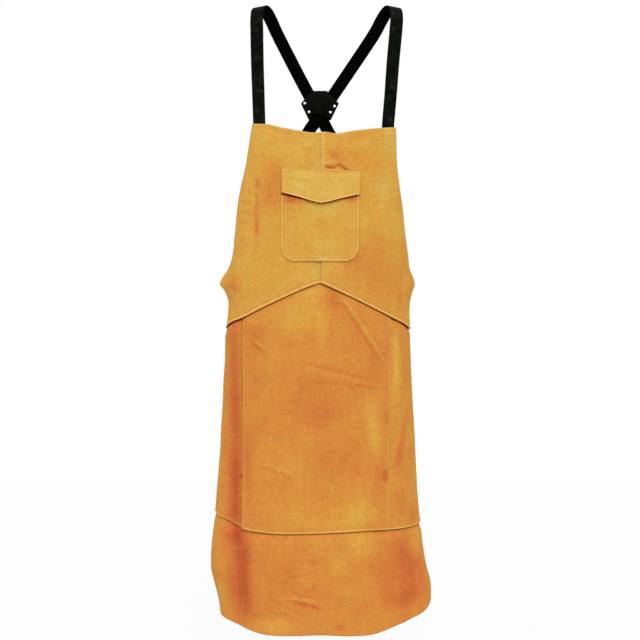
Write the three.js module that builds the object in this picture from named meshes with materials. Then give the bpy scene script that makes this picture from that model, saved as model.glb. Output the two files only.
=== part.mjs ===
// A leather welding apron, in the form that it has when it is worn.
// Six sewn panels of split leather, a patch pocket with a flap, and two straps crossing in a riveted patch.
// Millimetres, +Z up. The front faces -Y, and the origin lies between the straps, on top of the shoulders.
import * as THREE from 'three';

const { lerp, smoothstep } = THREE.MathUtils;

// Leather and seams.
const LEATHER = 1.6;
const SEAM_GAP = 0.85;
const LAYER = LEATHER + SEAM_GAP;
const LAP = 14;
const SUNK = 3;
const EASE = 22;
const DIP_REACH = 12;
const DIP_EASE = 34;
const PROBE = 2;
const ARC_STEP = 0.02;

// Heights on the centre line, measured down from the shoulders, and the widths of the cut panels.
const CHEVRON_TOP = -604;
const CHEVRON_BEND = 150;
const CHEVRON = {
  left: { nose: 12, slope: 0.44, bend: 0.0009 },
  right: { nose: 2, slope: 0.465, bend: 0.0015 },
};
const NECK_Z = -289;
const HEM_SEAM_Z = -1124;
const HEM_Z = -1332;
const CENTER_EDGE = { top: -690, left: { s: 177, taper: 0 }, right: { s: 157, taper: 0.03 } };
const REAR_EDGE = { z: -706, s: 254, flare: 0.085 };
const HEM_CORNER = { across: 46, rise: 60 };
const HEM_CROWD = 0.5;

// How the leather lies round the body, from the hem up.
// Each section has the place of its middle, and each side's half width and depth.
const SECTIONS = [
  { z: -1340, front: -121, leftWidth: 220, leftDepth: 150, rightWidth: 233, rightDepth: 105 },
  { z: -1298, front: -121, leftWidth: 223, leftDepth: 150, rightWidth: 237, rightDepth: 108 },
  { z: -1245, front: -121, leftWidth: 236, leftDepth: 150, rightWidth: 237, rightDepth: 115 },
  { z: -1218, front: -120, leftWidth: 241, leftDepth: 150, rightWidth: 230, rightDepth: 120 },
  { z: -1113, front: -119, leftWidth: 233, leftDepth: 148, rightWidth: 215, rightDepth: 130 },
  { z: -928, front: -117, leftWidth: 219, leftDepth: 142, rightWidth: 204, rightDepth: 135 },
  { z: -770, front: -114, leftWidth: 211, leftDepth: 136, rightWidth: 197, rightDepth: 133 },
  { z: -716, front: -113, leftWidth: 210, leftDepth: 134, rightWidth: 195, rightDepth: 132 },
  { z: -650, front: -112, leftWidth: 205, leftDepth: 132, rightWidth: 195, rightDepth: 131 },
  { z: -560, front: -111, leftWidth: 206, leftDepth: 128, rightWidth: 197, rightDepth: 128 },
  { z: -470, front: -110, leftWidth: 210, leftDepth: 122, rightWidth: 203, rightDepth: 122 },
  { z: -380, front: -108, leftWidth: 214, leftDepth: 116, rightWidth: 210, rightDepth: 116 },
  { z: -262, front: -100, leftWidth: 222, leftDepth: 108, rightWidth: 226, rightDepth: 108 },
];

// Folds and dents: the place along the girth, the heights between, the width, and how far each stands out.
const FOLDS = [
  { name: 'left waist corner', s: -256, top: -572, bottom: -640, width: 34, rise: 15 },
  { name: 'right waist corner', s: 252, top: -572, bottom: -640, width: 34, rise: 8 },
  { name: 'left side valley', s: -196, top: -715, bottom: -1420, width: 24, rise: -7 },
  { name: 'left side ridge', s: -246, top: -800, bottom: -1420, width: 24, rise: 3 },
  { name: 'right side ridge', s: 180, top: -690, bottom: -930, width: 14, rise: 3 },
  { name: 'right hem valley', s: 205, top: -1090, bottom: -1420, width: 24, rise: -6 },
  { name: 'bib left valley', s: -158, top: -300, bottom: -520, width: 15, rise: -3 },
  { name: 'skirt left swell', s: -75, top: -760, bottom: -1420, width: 48, rise: 3 },
  { name: 'skirt right swell', s: 88, top: -820, bottom: -1420, width: 46, rise: 3 },
];
const FOLD_FADE = 0.35;

// The bib's outer edge, from the end of the chevron up round the arm to the top corner.
const BIB_EDGE = [
  { z: -706, left: 252, right: 250 },
  { z: -680, left: 245, right: 245 },
  { z: -650, left: 238, right: 241 },
  { z: -622, left: 240, right: 244 },
  { z: -601, left: 254, right: 251 },
  { z: -591, left: 250, right: 246 },
  { z: -573, left: 232, right: 227 },
  { z: -548, left: 213, right: 216 },
  { z: -497, left: 200, right: 198 },
  { z: -422, left: 185, right: 181 },
  { z: -347, left: 164, right: 167 },
  { z: -269, left: 148, right: 162 },
];

const BIB_SPAN_STEPS = 2;
const BOW_FADE = 3;

// Edges that run across the apron: height against the place along the girth.
const NECKLINE = [
  { s: -150, z: -267 },
  { s: -115, z: -270 },
  { s: -80, z: -279 },
  { s: -50, z: -285 },
  { s: -20, z: -290 },
  { s: 8, z: NECK_Z },
  { s: 35, z: -292 },
  { s: 60, z: -287 },
  { s: 100, z: -281 },
  { s: 140, z: -276 },
  { s: 163, z: -274 },
];
const HEM_SEAM = [
  { s: -310, z: -1100 },
  { s: -230, z: -1109 },
  { s: -177, z: -1123 },
  { s: -120, z: -1127 },
  { s: 0, z: HEM_SEAM_Z },
  { s: 105, z: -1120 },
  { s: 163, z: -1122 },
  { s: 230, z: -1122 },
  { s: 310, z: -1118 },
];
const HEM_EDGE = [
  { s: -310, z: -1310 },
  { s: -277, z: -1316 },
  { s: -196, z: -1326 },
  { s: -125, z: -1337 },
  { s: -60, z: -1335 },
  { s: 0, z: HEM_Z },
  { s: 60, z: -1335 },
  { s: 112, z: -1333 },
  { s: 164, z: -1319 },
  { s: 226, z: -1305 },
  { s: 310, z: -1264 },
];

// Pocket and flap.
const POCKET = { s: -2, half: 80, mouth: -392, bottom: -559, corner: 30, bulge: 8 };
const POCKET_SQUARE = 2.5;
const POCKET_CROWD = 1.6;
const FLAP = {
  s: 0,
  half: 82.5,
  top: -368.5,
  tilt: -0.044,
  tip: -441,
  side: -419,
  sewn: 3,
  clear: 7,
  stand: 4,
};

// Straps: their section, the arch over the shoulder, and the route of each in front and behind.
const STRAP = { width: 28, thickness: 2.2 };
const STRAP_GAP = 0.4;
const HOLLOW = { bib: 1.1, waist: 2 };
const SHOULDER = { y: 8, radius: 55, slope: 0.2 };
const FRONT_RUN = [
  { z: -200, y: -61, turn: 0.31, left: -133, right: 148 },
  { z: -130, y: -54, turn: 0.22, left: -135.5, right: 153.5 },
  { z: -62, y: -47.5, turn: 0.13, left: -137, right: 160 },
];
const ARCH = [
  { angle: 160, left: -137.5, right: 162 },
  { angle: 130, left: -136, right: 161 },
  { angle: 100, left: -130, right: 155 },
  { angle: 70, left: -120, right: 145 },
  { angle: 40, left: -109, right: 132.5 },
  { angle: 18, left: -100, right: 122 },
];
const STRAP_ENDS = {
  left: { s: -134, top: -268, bottom: -318 },
  right: { s: 145, top: -276, bottom: -326 },
};
const WAIST_END = { s: 238, z: -640, inner: { s: 224, z: -668 } };
const BACK = { y: -12, width: 194, depth: 126, spans: 4 };
const STATION_STEPS = 4;

// The patch where the straps cross, in a plane of its own that leans with the back.
const PATCH = {
  x: -2.5,
  y: 108,
  z: -191,
  lean: 0.155,
  thickness: 2,
  topHalf: 16,
  top: 32,
  wingHalf: 43.5,
  wing: 4,
  innerHalf: 31,
  innerBottom: -20,
  outerHalf: 25,
  outerBottom: -34,
};
const CROSSING = { x: -0.5, y: -23, left: 0.54, right: 0.69, stations: [60, 36, 0, -36, -60] };
const RIVETS = [
  { name: 'rivet_1', x: -34, y: 4 },
  { name: 'rivet_2', x: -24.5, y: -15.5 },
  { name: 'rivet_3', x: 33.5, y: -2.5 },
  { name: 'rivet_4', x: 24, y: -16 },
];
const RIVET = { cap: 3, dome: 1.4, shank: 1.5, seat: 0.3, sides: 12 };
const RIVET_DOME = [
  { out: 1, up: 0 },
  { out: 0.94, up: 0.4 },
  { out: 0.6, up: 0.85 },
  { out: 0, up: 1 },
];

// Looks.
const GOLDEN_LEATHER = { color: 0xd9a643, roughness: 0.85, metalness: 0 };
const ORANGE_LEATHER = { color: 0xd58c3c, roughness: 0.85, metalness: 0 };
const BLACK_LEATHER = { color: 0x15170f, roughness: 0.7, metalness: 0 };
const NICKEL = { color: 0xd9d9d4, roughness: 0.25, metalness: 1 };

function tableCurve(rows, key, columns) {
  const places = rows.map((row) => row[key]);
  const values = rows.flatMap((row) => columns.map((column) => row[column]));
  return new THREE.CubicInterpolant(places, values, columns.length);
}

const sections = tableCurve(SECTIONS, 'z', ['front', 'leftWidth', 'leftDepth', 'rightWidth', 'rightDepth']);
const necklineCurve = tableCurve(NECKLINE, 's', ['z']);
const hemSeamCurve = tableCurve(HEM_SEAM, 's', ['z']);
const hemEdgeCurve = tableCurve(HEM_EDGE, 's', ['z']);
const neckline = (s) => necklineCurve.evaluate(s)[0];
const hemSeam = (s) => hemSeamCurve.evaluate(s)[0];
const hemEdge = (s) => hemEdgeCurve.evaluate(s)[0];

function chevron(s) {
  const { nose, slope, bend } = s < 0 ? CHEVRON.left : CHEVRON.right;
  const out = Math.hypot(s, nose) - nose;
  const past = Math.max(0, out - CHEVRON_BEND);
  return CHEVRON_TOP - slope * out + bend * past * past;
}

// Where the middle panel of the skirt ends on this side, s from the centre line.
function centerEdge(side, z) {
  const { s, taper } = side < 0 ? CENTER_EDGE.left : CENTER_EDGE.right;
  return s - (CENTER_EDGE.top - z) * taper;
}

function rearEdge(z) {
  return REAR_EDGE.s + (REAR_EDGE.z - z) * REAR_EDGE.flare;
}

// The lower edge of the hem, rounded up into the rear edges.
function hemBottom(s) {
  const past = Math.max(0, Math.abs(s) - rearEdge(HEM_Z) + HEM_CORNER.across) / HEM_CORNER.across;
  return hemEdge(s) + HEM_CORNER.rise * (1 - Math.sqrt(Math.max(0, 1 - past * past)));
}

function foldRise(s, z) {
  let rise = 0;
  for (const fold of FOLDS) {
    const fade = FOLD_FADE * (fold.top - fold.bottom);
    const across = Math.exp(-(((s - fold.s) / fold.width) ** 2));
    const below = smoothstep(fold.top - z, 0, fade);
    const above = smoothstep(z - fold.bottom, 0, fade);
    rise += fold.rise * across * below * above;
  }
  return rise;
}

// The angle that an arc of this length takes on an ellipse, from the end of its depth axis.
function ellipseAngle(width, depth, length) {
  let angle = 0;
  let left = length;
  for (;;) {
    const middle = angle + ARC_STEP / 2;
    const piece = ARC_STEP * Math.hypot(width * Math.cos(middle), depth * Math.sin(middle));
    if (piece >= left) {
      return angle + (ARC_STEP * left) / piece;
    }
    left -= piece;
    angle += ARC_STEP;
  }
}

// The place in space of a point of the flat leather, s along the girth from the centre line, at height z.
function worn(s, z) {
  const [front, leftWidth, leftDepth, rightWidth, rightDepth] = sections.evaluate(z);
  const side = Math.sign(s);
  const width = s < 0 ? leftWidth : rightWidth;
  const depth = s < 0 ? leftDepth : rightDepth;
  const angle = ellipseAngle(width, depth, Math.abs(s));
  const out = new THREE.Vector3((side * Math.sin(angle)) / width, -Math.cos(angle) / depth, 0).normalize();
  const y = front + depth * (1 - Math.cos(angle));
  const point = new THREE.Vector3(side * width * Math.sin(angle), y, z);
  return point.addScaledVector(out, foldRise(s, z));
}

// The same point raised off the body along the leather's normal.
function raised(s, z, raise) {
  const along = worn(s + PROBE, z).sub(worn(s - PROBE, z));
  const up = worn(s, z + PROBE).sub(worn(s, z - PROBE));
  const normal = along.cross(up).normalize();
  return { point: worn(s, z).addScaledVector(normal, raise), normal };
}

// Even steps from 0 to 1.
const steps = (count) => Array.from({ length: count + 1 }, (_, index) => index / count);

// A closed wall, half a thickness to each side of the surface that lay(u, v) gives for its columns and rows.
function wall(columns, rows, thickness, lay) {
  const positions = [];
  const faces = [];
  const across = columns.length - 1;
  const along = rows.length - 1;
  for (const side of [1, -1]) {
    for (const v of rows) {
      for (const u of columns) {
        const { point, normal } = lay(u, v);
        positions.push(...point.clone().addScaledVector(normal, (side * thickness) / 2));
      }
    }
  }
  const front = (i, j) => j * columns.length + i;
  const back = (i, j) => (rows.length + j) * columns.length + i;
  const quad = (a, b, c, d) => faces.push(a, b, c, a, c, d);
  for (let j = 0; j < along; j += 1) {
    for (let i = 0; i < across; i += 1) {
      quad(front(i, j), front(i + 1, j), front(i + 1, j + 1), front(i, j + 1));
      quad(back(i, j), back(i, j + 1), back(i + 1, j + 1), back(i + 1, j));
    }
    quad(front(0, j), front(0, j + 1), back(0, j + 1), back(0, j));
    quad(back(across, j), back(across, j + 1), front(across, j + 1), front(across, j));
  }
  for (let i = 0; i < across; i += 1) {
    quad(back(i, 0), back(i + 1, 0), front(i + 1, 0), front(i, 0));
    quad(front(i, along), front(i + 1, along), back(i + 1, along), back(i, along));
  }
  const geometry = new THREE.BufferGeometry();
  geometry.setAttribute('position', new THREE.Float32BufferAttribute(positions, 3));
  geometry.setIndex(faces);
  geometry.computeVertexNormals();
  return geometry;
}

// A leather panel: cut(u, v) gives its flat outline, raise(s, z) the layer that it lies in.
function panel(columns, rows, cut, raise) {
  return wall(columns, rows, LEATHER, (u, v) => {
    const [s, z] = cut(u, v);
    return raised(s, z, raise(s, z));
  });
}

// How far a panel sinks under a neighbour whose edge is this far away: 1 below it, 0 clear of it.
const sinks = (past) => 1 - smoothstep(past, SUNK, SUNK + EASE);
const underBib = (s, z) => sinks(chevron(s) - z);
const underSkirt = (s, z) => sinks(hemSeam(s) - z);
const underCenter = (s, z) => sinks(Math.abs(s) - centerEdge(s, z));
const underRightBib = (s) => sinks(-s);

// The wide dip, 0 to 1, of a panel that passes below a seam which is itself two layers thick.
function dip(s, from, to) {
  const into = smoothstep(s, from - DIP_REACH - DIP_EASE, from - DIP_REACH);
  const outOf = smoothstep(s, to + DIP_REACH, to + DIP_REACH + DIP_EASE);
  return into * (1 - outOf);
}

// A panel's way from its far edge to the edge that covers it, and on under that edge by the lap.
// v runs from 0 to 1 on the open leather, and from 1 to 2 where it sinks and is covered.
function reach(from, cover, v) {
  const way = Math.sign(cover - from);
  const open = cover - way * (SUNK + EASE);
  return v <= 1 ? lerp(from, open, v) : lerp(open, cover + way * LAP, v - 1);
}

const LAP_LENGTH = EASE + SUNK + LAP;
const LAP_STEPS = [EASE / 2, EASE, EASE + SUNK, LAP_LENGTH].map((length) => 1 + length / LAP_LENGTH);
const lappedSteps = (count) => [...steps(count), ...LAP_STEPS];

const apron = new THREE.Group();

function add(name, geometry, looks, parent = apron) {
  const mesh = new THREE.Mesh(geometry, new THREE.MeshStandardMaterial(looks));
  mesh.name = name;
  parent.add(mesh);
  return mesh;
}

// Bib halves: rows run from the centre seam to the outer edge, and the left half reaches under the right one.
// The bows of the chevron and the neckline die out towards the middle of the bib.
function bibCut(name, sign, place) {
  const edge = new THREE.SplineCurve(BIB_EDGE.map((row) => new THREE.Vector2(sign * row[name], row.z)));
  const low = edge.getPoint(0);
  const high = edge.getPoint(1);
  const bow = (curve, end, share) => curve(share * end.x) - lerp(curve(0), end.y, share);
  return (u, v) => {
    const end = edge.getPoint(v);
    const s = place(end.x, u);
    const out = s / end.x;
    const straight = lerp(lerp(CHEVRON_TOP, neckline(0), v), end.y, out);
    const lowBow = (1 - v) ** BOW_FADE * bow(chevron, low, out);
    const highBow = v ** BOW_FADE * bow(neckline, high, out);
    return [s, straight + lowBow + highBow];
  };
}

const BIB_ROWS = steps(BIB_SPAN_STEPS * (BIB_EDGE.length - 1));
const leftCut = bibCut('left', -1, (edge, u) => reach(edge, 0, u));
const rightCut = bibCut('right', 1, (edge, u) => u * edge);

const leftRaise = (s) => -LAYER * underRightBib(s);

add('bib_left', panel(lappedSteps(10), BIB_ROWS, leftCut, leftRaise), GOLDEN_LEATHER);
add('bib_right', panel(steps(12), BIB_ROWS, rightCut, () => 0), GOLDEN_LEATHER);

// Skirt: the middle panel laps over the side panels, and all three reach up under the bib.
function skirtCut(place) {
  return (u, v) => {
    const low = hemSeam(place(u, HEM_SEAM_Z));
    const high = chevron(place(u, REAR_EDGE.z));
    const z = reach(low, high, v);
    return [place(u, z), z];
  };
}

const sideCut = (side) => skirtCut((u, z) => reach(side * rearEdge(z), side * centerEdge(side, z), u));
const centerCut = skirtCut((u, z) => lerp(-centerEdge(-1, z), centerEdge(1, z), u));
const centerRaise = (s, z) => -LAYER * underBib(s, z) * (1 + dip(s, 0, LAP));
const sideRaise = (s, z) => -LAYER * (underBib(s, z) + underCenter(s, z));
const SKIRT_ROWS = lappedSteps(12);
const SIDE_COLUMNS = lappedSteps(8);

add('skirt_center', panel(steps(18), SKIRT_ROWS, centerCut, centerRaise), ORANGE_LEATHER);
add('skirt_side_left', panel(SIDE_COLUMNS, SKIRT_ROWS, sideCut(-1), sideRaise), ORANGE_LEATHER);
const rightColumns = SIDE_COLUMNS.toReversed();
add('skirt_side_right', panel(rightColumns, SKIRT_ROWS, sideCut(1), sideRaise), ORANGE_LEATHER);

// Hem panel: its columns crowd towards the rounded corners.
function hemCut(u, v) {
  const across = 2 * u - 1;
  const s = rearEdge(HEM_Z) * lerp(across, Math.sin((across * Math.PI) / 2), HEM_CROWD);
  return [s, reach(hemBottom(s), hemSeam(s), v)];
}

function seamDip(s) {
  const edge = centerEdge(s, HEM_SEAM_Z);
  return dip(Math.abs(s), edge - LAP, edge);
}

const hemRaise = (s, z) => -LAYER * underSkirt(s, z) * (1 + seamDip(s));

add('hem_panel', panel(steps(40), lappedSteps(6), hemCut, hemRaise), ORANGE_LEATHER);

// Pocket: flat where it is sewn, and swelling out towards its open mouth.
function pocketSwell(s, z) {
  const across = Math.min(1, Math.abs(s - POCKET.s) / POCKET.half);
  const up = Math.min(1, (z - POCKET.bottom) / (POCKET.mouth - POCKET.bottom));
  return POCKET.bulge * (1 - across ** POCKET_SQUARE) * Math.sin((up * Math.PI) / 2);
}

function pocketCut(u, v) {
  const z = lerp(POCKET.bottom, POCKET.mouth, v ** POCKET_CROWD);
  const short = Math.max(0, POCKET.bottom + POCKET.corner - z);
  const half = POCKET.half - POCKET.corner + Math.sqrt(POCKET.corner ** 2 - short ** 2);
  return [POCKET.s + half * (2 * u - 1), z];
}

const pocketRaise = (s, z) => LAYER + Math.max(0, pocketSwell(s, z));

add('pocket', panel(steps(14), steps(14), pocketCut, pocketRaise), GOLDEN_LEATHER);

// Flap: sewn to the bib along its top, then over the pocket's mouth and standing off at its point.
const flapTop = (s) => FLAP.top + FLAP.tilt * (s - FLAP.s);

function flapLow(s) {
  const out = s - FLAP.s;
  return lerp(FLAP.tip, FLAP.side, Math.abs(out) / FLAP.half) + (FLAP.tilt * out) / 2;
}

function flapCut(u, v) {
  const s = FLAP.s + FLAP.half * (2 * u - 1);
  return [s, lerp(flapLow(s), flapTop(s), v)];
}

function flapRaise(s, z) {
  const over = smoothstep(flapTop(s) - z, FLAP.sewn, flapTop(s) - POCKET.mouth - FLAP.clear);
  const hang = Math.max(0, POCKET.mouth - z) / (POCKET.mouth - FLAP.tip);
  const swell = Math.max(0, pocketSwell(s, Math.min(z, POCKET.mouth)));
  return LAYER + over * (LAYER + swell) + FLAP.stand * hang;
}

add('pocket_flap', panel(steps(14), steps(10), flapCut, flapRaise), GOLDEN_LEATHER);

// The crossing patch: two flat layers in a leaning plane, with the straps between them.
const patch = new THREE.Group();
patch.position.set(PATCH.x, PATCH.y, PATCH.z);
patch.rotation.x = Math.PI / 2 + PATCH.lean;
patch.updateMatrixWorld(true);
apron.add(patch);

const STRAP_STEP = (STRAP.thickness + STRAP_GAP) / 2;
const PATCH_FACE = STRAP_STEP + STRAP.thickness / 2 + STRAP_GAP;
const patchNormal = new THREE.Vector3(0, 0, -1).transformDirection(patch.matrixWorld);

function patchLayer(bottomHalf, bottom) {
  const outline = new THREE.Shape();
  outline.moveTo(-bottomHalf, bottom);
  outline.lineTo(bottomHalf, bottom);
  outline.lineTo(PATCH.wingHalf, PATCH.wing);
  outline.lineTo(PATCH.topHalf, PATCH.top);
  outline.lineTo(-PATCH.topHalf, PATCH.top);
  outline.lineTo(-PATCH.wingHalf, PATCH.wing);
  outline.closePath();
  for (const rivet of RIVETS) {
    const hole = new THREE.Path();
    hole.absarc(rivet.x, rivet.y, RIVET.shank + RIVET.seat, 0, 2 * Math.PI, true);
    outline.holes.push(hole);
  }
  const curveSegments = RIVET.sides;
  return new THREE.ExtrudeGeometry(outline, { depth: PATCH.thickness, bevelEnabled: false, curveSegments });
}

const innerLayer = patchLayer(PATCH.innerHalf, PATCH.innerBottom);
innerLayer.translate(0, 0, PATCH_FACE);
const outerLayer = patchLayer(PATCH.outerHalf, PATCH.outerBottom);
outerLayer.translate(0, 0, -PATCH_FACE - PATCH.thickness);

add('cross_patch_inner', innerLayer, BLACK_LEATHER, patch);
add('cross_patch_outer', outerLayer, BLACK_LEATHER, patch);

// Rivets: a domed cap at each end of a shank that passes through both layers.
function rivetGeometry() {
  const seat = PATCH_FACE + PATCH.thickness + RIVET.seat;
  const dome = RIVET_DOME.map(({ out, up }) => new THREE.Vector2(RIVET.cap * out, seat + RIVET.dome * up));
  const upper = [new THREE.Vector2(RIVET.shank, seat), ...dome];
  const lower = upper.map((point) => new THREE.Vector2(point.x, -point.y)).reverse();
  return new THREE.LatheGeometry([...lower, ...upper], RIVET.sides);
}

for (const { name, x, y } of RIVETS) {
  const rivet = add(name, rivetGeometry(), NICKEL, patch);
  rivet.position.set(x, y, 0);
  rivet.rotation.x = Math.PI / 2;
}

// Straps: a flat section carried through stations that give its middle and the way that its face looks.
function strap(stations) {
  const route = new THREE.CatmullRomCurve3(stations.map(({ point }) => point));
  const facing = new THREE.CatmullRomCurve3(stations.map(({ normal }) => normal));
  const rows = steps((stations.length - 1) * STATION_STEPS);
  return wall(steps(1), rows, STRAP.thickness, (u, v) => {
    const along = route.getTangent(v);
    const across = along.clone().cross(facing.getPoint(v)).normalize();
    const point = route.getPoint(v).addScaledVector(across, (u - 0.5) * STRAP.width);
    return { point, normal: across.clone().cross(along).normalize() };
  });
}

function strapStations(name) {
  const side = name === 'left' ? -1 : 1;
  const inside = -(LEATHER + STRAP.thickness) / 2 - STRAP_GAP;
  const stations = [];
  const { s, top, bottom } = STRAP_ENDS[name];
  for (const share of [0, 0.5, 1]) {
    stations.push(raised(s, lerp(bottom, top, share), inside - HOLLOW.bib));
  }
  for (const row of FRONT_RUN) {
    const normal = new THREE.Vector3(side * row.turn, -1, 0);
    stations.push({ point: new THREE.Vector3(row[name], row.y, row.z), normal });
  }
  for (const row of ARCH) {
    const angle = THREE.MathUtils.degToRad(row.angle);
    const round = new THREE.Vector3(0, Math.cos(angle), Math.sin(angle));
    const middle = new THREE.Vector3(row[name], SHOULDER.y, STRAP.thickness / 2 - SHOULDER.radius);
    const normal = round.clone().add(new THREE.Vector3(side * SHOULDER.slope, 0, 0));
    stations.push({ point: middle.addScaledVector(round, SHOULDER.radius), normal });
  }
  for (const y of CROSSING.stations) {
    const x = CROSSING.x + side * CROSSING[name] * (y - CROSSING.y);
    const point = patch.localToWorld(new THREE.Vector3(x, y, -side * STRAP_STEP));
    stations.push({ point, normal: patchNormal.clone() });
  }
  const start = stations.at(-1).point;
  for (let span = 1; span < BACK.spans; span += 1) {
    const share = span / BACK.spans;
    const sideways = -side * Math.sin((share * Math.PI) / 2);
    const backward = Math.cos((share * Math.PI) / 2);
    const z = lerp(start.z, WAIST_END.z, share);
    const point = new THREE.Vector3(BACK.width * sideways, BACK.y + BACK.depth * backward, z);
    const normal = new THREE.Vector3(BACK.depth * sideways, BACK.width * backward, 0).normalize();
    stations.push({ point, normal });
  }
  stations.push(raised(-side * WAIST_END.s, WAIST_END.z, inside - HOLLOW.waist));
  stations.push(raised(-side * WAIST_END.inner.s, WAIST_END.inner.z, inside - HOLLOW.waist));
  return stations;
}

add('strap_left', strap(strapStations('left')), BLACK_LEATHER);
add('strap_right', strap(strapStations('right')), BLACK_LEATHER);

export default apron;
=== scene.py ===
"""The looks of a leather welding apron: golden split leather, and black straps with a riveted patch."""
import math

import bmesh
import bpy
import numpy as np
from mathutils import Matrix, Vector


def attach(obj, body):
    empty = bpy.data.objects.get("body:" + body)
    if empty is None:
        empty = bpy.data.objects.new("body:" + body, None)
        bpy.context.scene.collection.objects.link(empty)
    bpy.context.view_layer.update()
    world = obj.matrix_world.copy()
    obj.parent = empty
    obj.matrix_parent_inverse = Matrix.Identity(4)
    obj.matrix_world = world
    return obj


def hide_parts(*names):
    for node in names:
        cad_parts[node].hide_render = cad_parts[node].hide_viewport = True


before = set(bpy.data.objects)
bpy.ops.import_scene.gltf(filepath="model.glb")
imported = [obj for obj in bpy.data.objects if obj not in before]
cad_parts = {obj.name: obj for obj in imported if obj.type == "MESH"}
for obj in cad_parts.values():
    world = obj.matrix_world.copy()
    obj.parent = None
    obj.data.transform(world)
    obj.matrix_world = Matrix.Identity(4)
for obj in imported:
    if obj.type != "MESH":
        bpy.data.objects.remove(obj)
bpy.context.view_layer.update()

# Camera.
# The apron is seen from straight in front, level with the top of its skirt and 2.3 m away.
EYE = (-0.0021, -2.3, -0.681)
LENS = 59.36
SENSOR = 36

camera = bpy.data.cameras.new("camera")
camera.lens = LENS
camera.sensor_width = SENSOR
eye = bpy.data.objects.new("camera", camera)
eye.location = EYE
eye.rotation_euler = (math.pi / 2, 0, 0)
bpy.context.scene.collection.objects.link(eye)
bpy.context.scene.camera = eye

# Bib.
# Two halves of golden split leather, sewn together by a lapped seam down the middle, with stitched outer
# edges. Their lower edges form the chevron across the waist, and the neckline is a raw cut edge.
LEATHER = 0.0016  # thickness
LAYER = 0.00245  # between the middles of two layers that lie on each other
LAP = 0.014  # how far a panel reaches under its neighbour
SUNK = 0.003  # how far out from the neighbour's edge a panel stays sunk under it
EASE = 0.022  # how far it then takes to rise again
PROBE = 0.002  # half the span over which slopes are measured
ARC_STEP = 0.02  # step of the angle in which arcs are measured, up to the last one
ARC_END = 2.2

# How the leather lies round the body: the place of its middle, and each side's half width and depth.
SECTIONS = {
    "z": (
        -1.34, -1.298, -1.245, -1.218, -1.113, -0.928, -0.77, -0.716, -0.65, -0.56, -0.47, -0.38, -0.262),
    "front": (
        -0.121, -0.121, -0.121, -0.12, -0.119, -0.117, -0.114, -0.113, -0.112, -0.111, -0.11, -0.108, -0.1),
    "left_width": (
        0.22, 0.223, 0.236, 0.241, 0.233, 0.219, 0.211, 0.21, 0.205, 0.206, 0.21, 0.214, 0.222),
    "left_depth": (
        0.15, 0.15, 0.15, 0.15, 0.148, 0.142, 0.136, 0.134, 0.132, 0.128, 0.122, 0.116, 0.108),
    "right_width": (
        0.233, 0.237, 0.237, 0.23, 0.215, 0.204, 0.197, 0.195, 0.195, 0.197, 0.203, 0.21, 0.226),
    "right_depth": (
        0.105, 0.108, 0.115, 0.12, 0.13, 0.135, 0.133, 0.132, 0.131, 0.128, 0.122, 0.116, 0.108),
}

# Upright folds and dents: place along the girth, top, bottom, width, and how far each stands out.
FOLDS = (
    ("left side valley", -0.196, -0.715, -1.420, 0.024, -0.007),
    ("left side ridge", -0.246, -0.800, -1.420, 0.024, 0.003),
    ("right side ridge", 0.180, -0.690, -0.930, 0.014, 0.003),
    ("right hem valley", 0.205, -1.090, -1.420, 0.024, -0.006),
    ("bib left valley", -0.158, -0.300, -0.520, 0.015, -0.003),
    ("skirt left swell", -0.075, -0.760, -1.420, 0.048, 0.003),
    ("skirt right swell", 0.088, -0.820, -1.420, 0.046, 0.003),
)
FOLD_FADE = 0.35

# Points of the waist, where the outer edges stand out: place along the girth, height, width, reach up and
# down, and how far each stands out.
WAIST_POINTS = (
    ("left", -0.256, -0.602, 0.034, 0.034, 0.0155),
    ("right", 0.252, -0.602, 0.034, 0.034, 0.0085),
)
POINT_ROUND = 0.15
POINT_CURVE = 1.3

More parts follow.
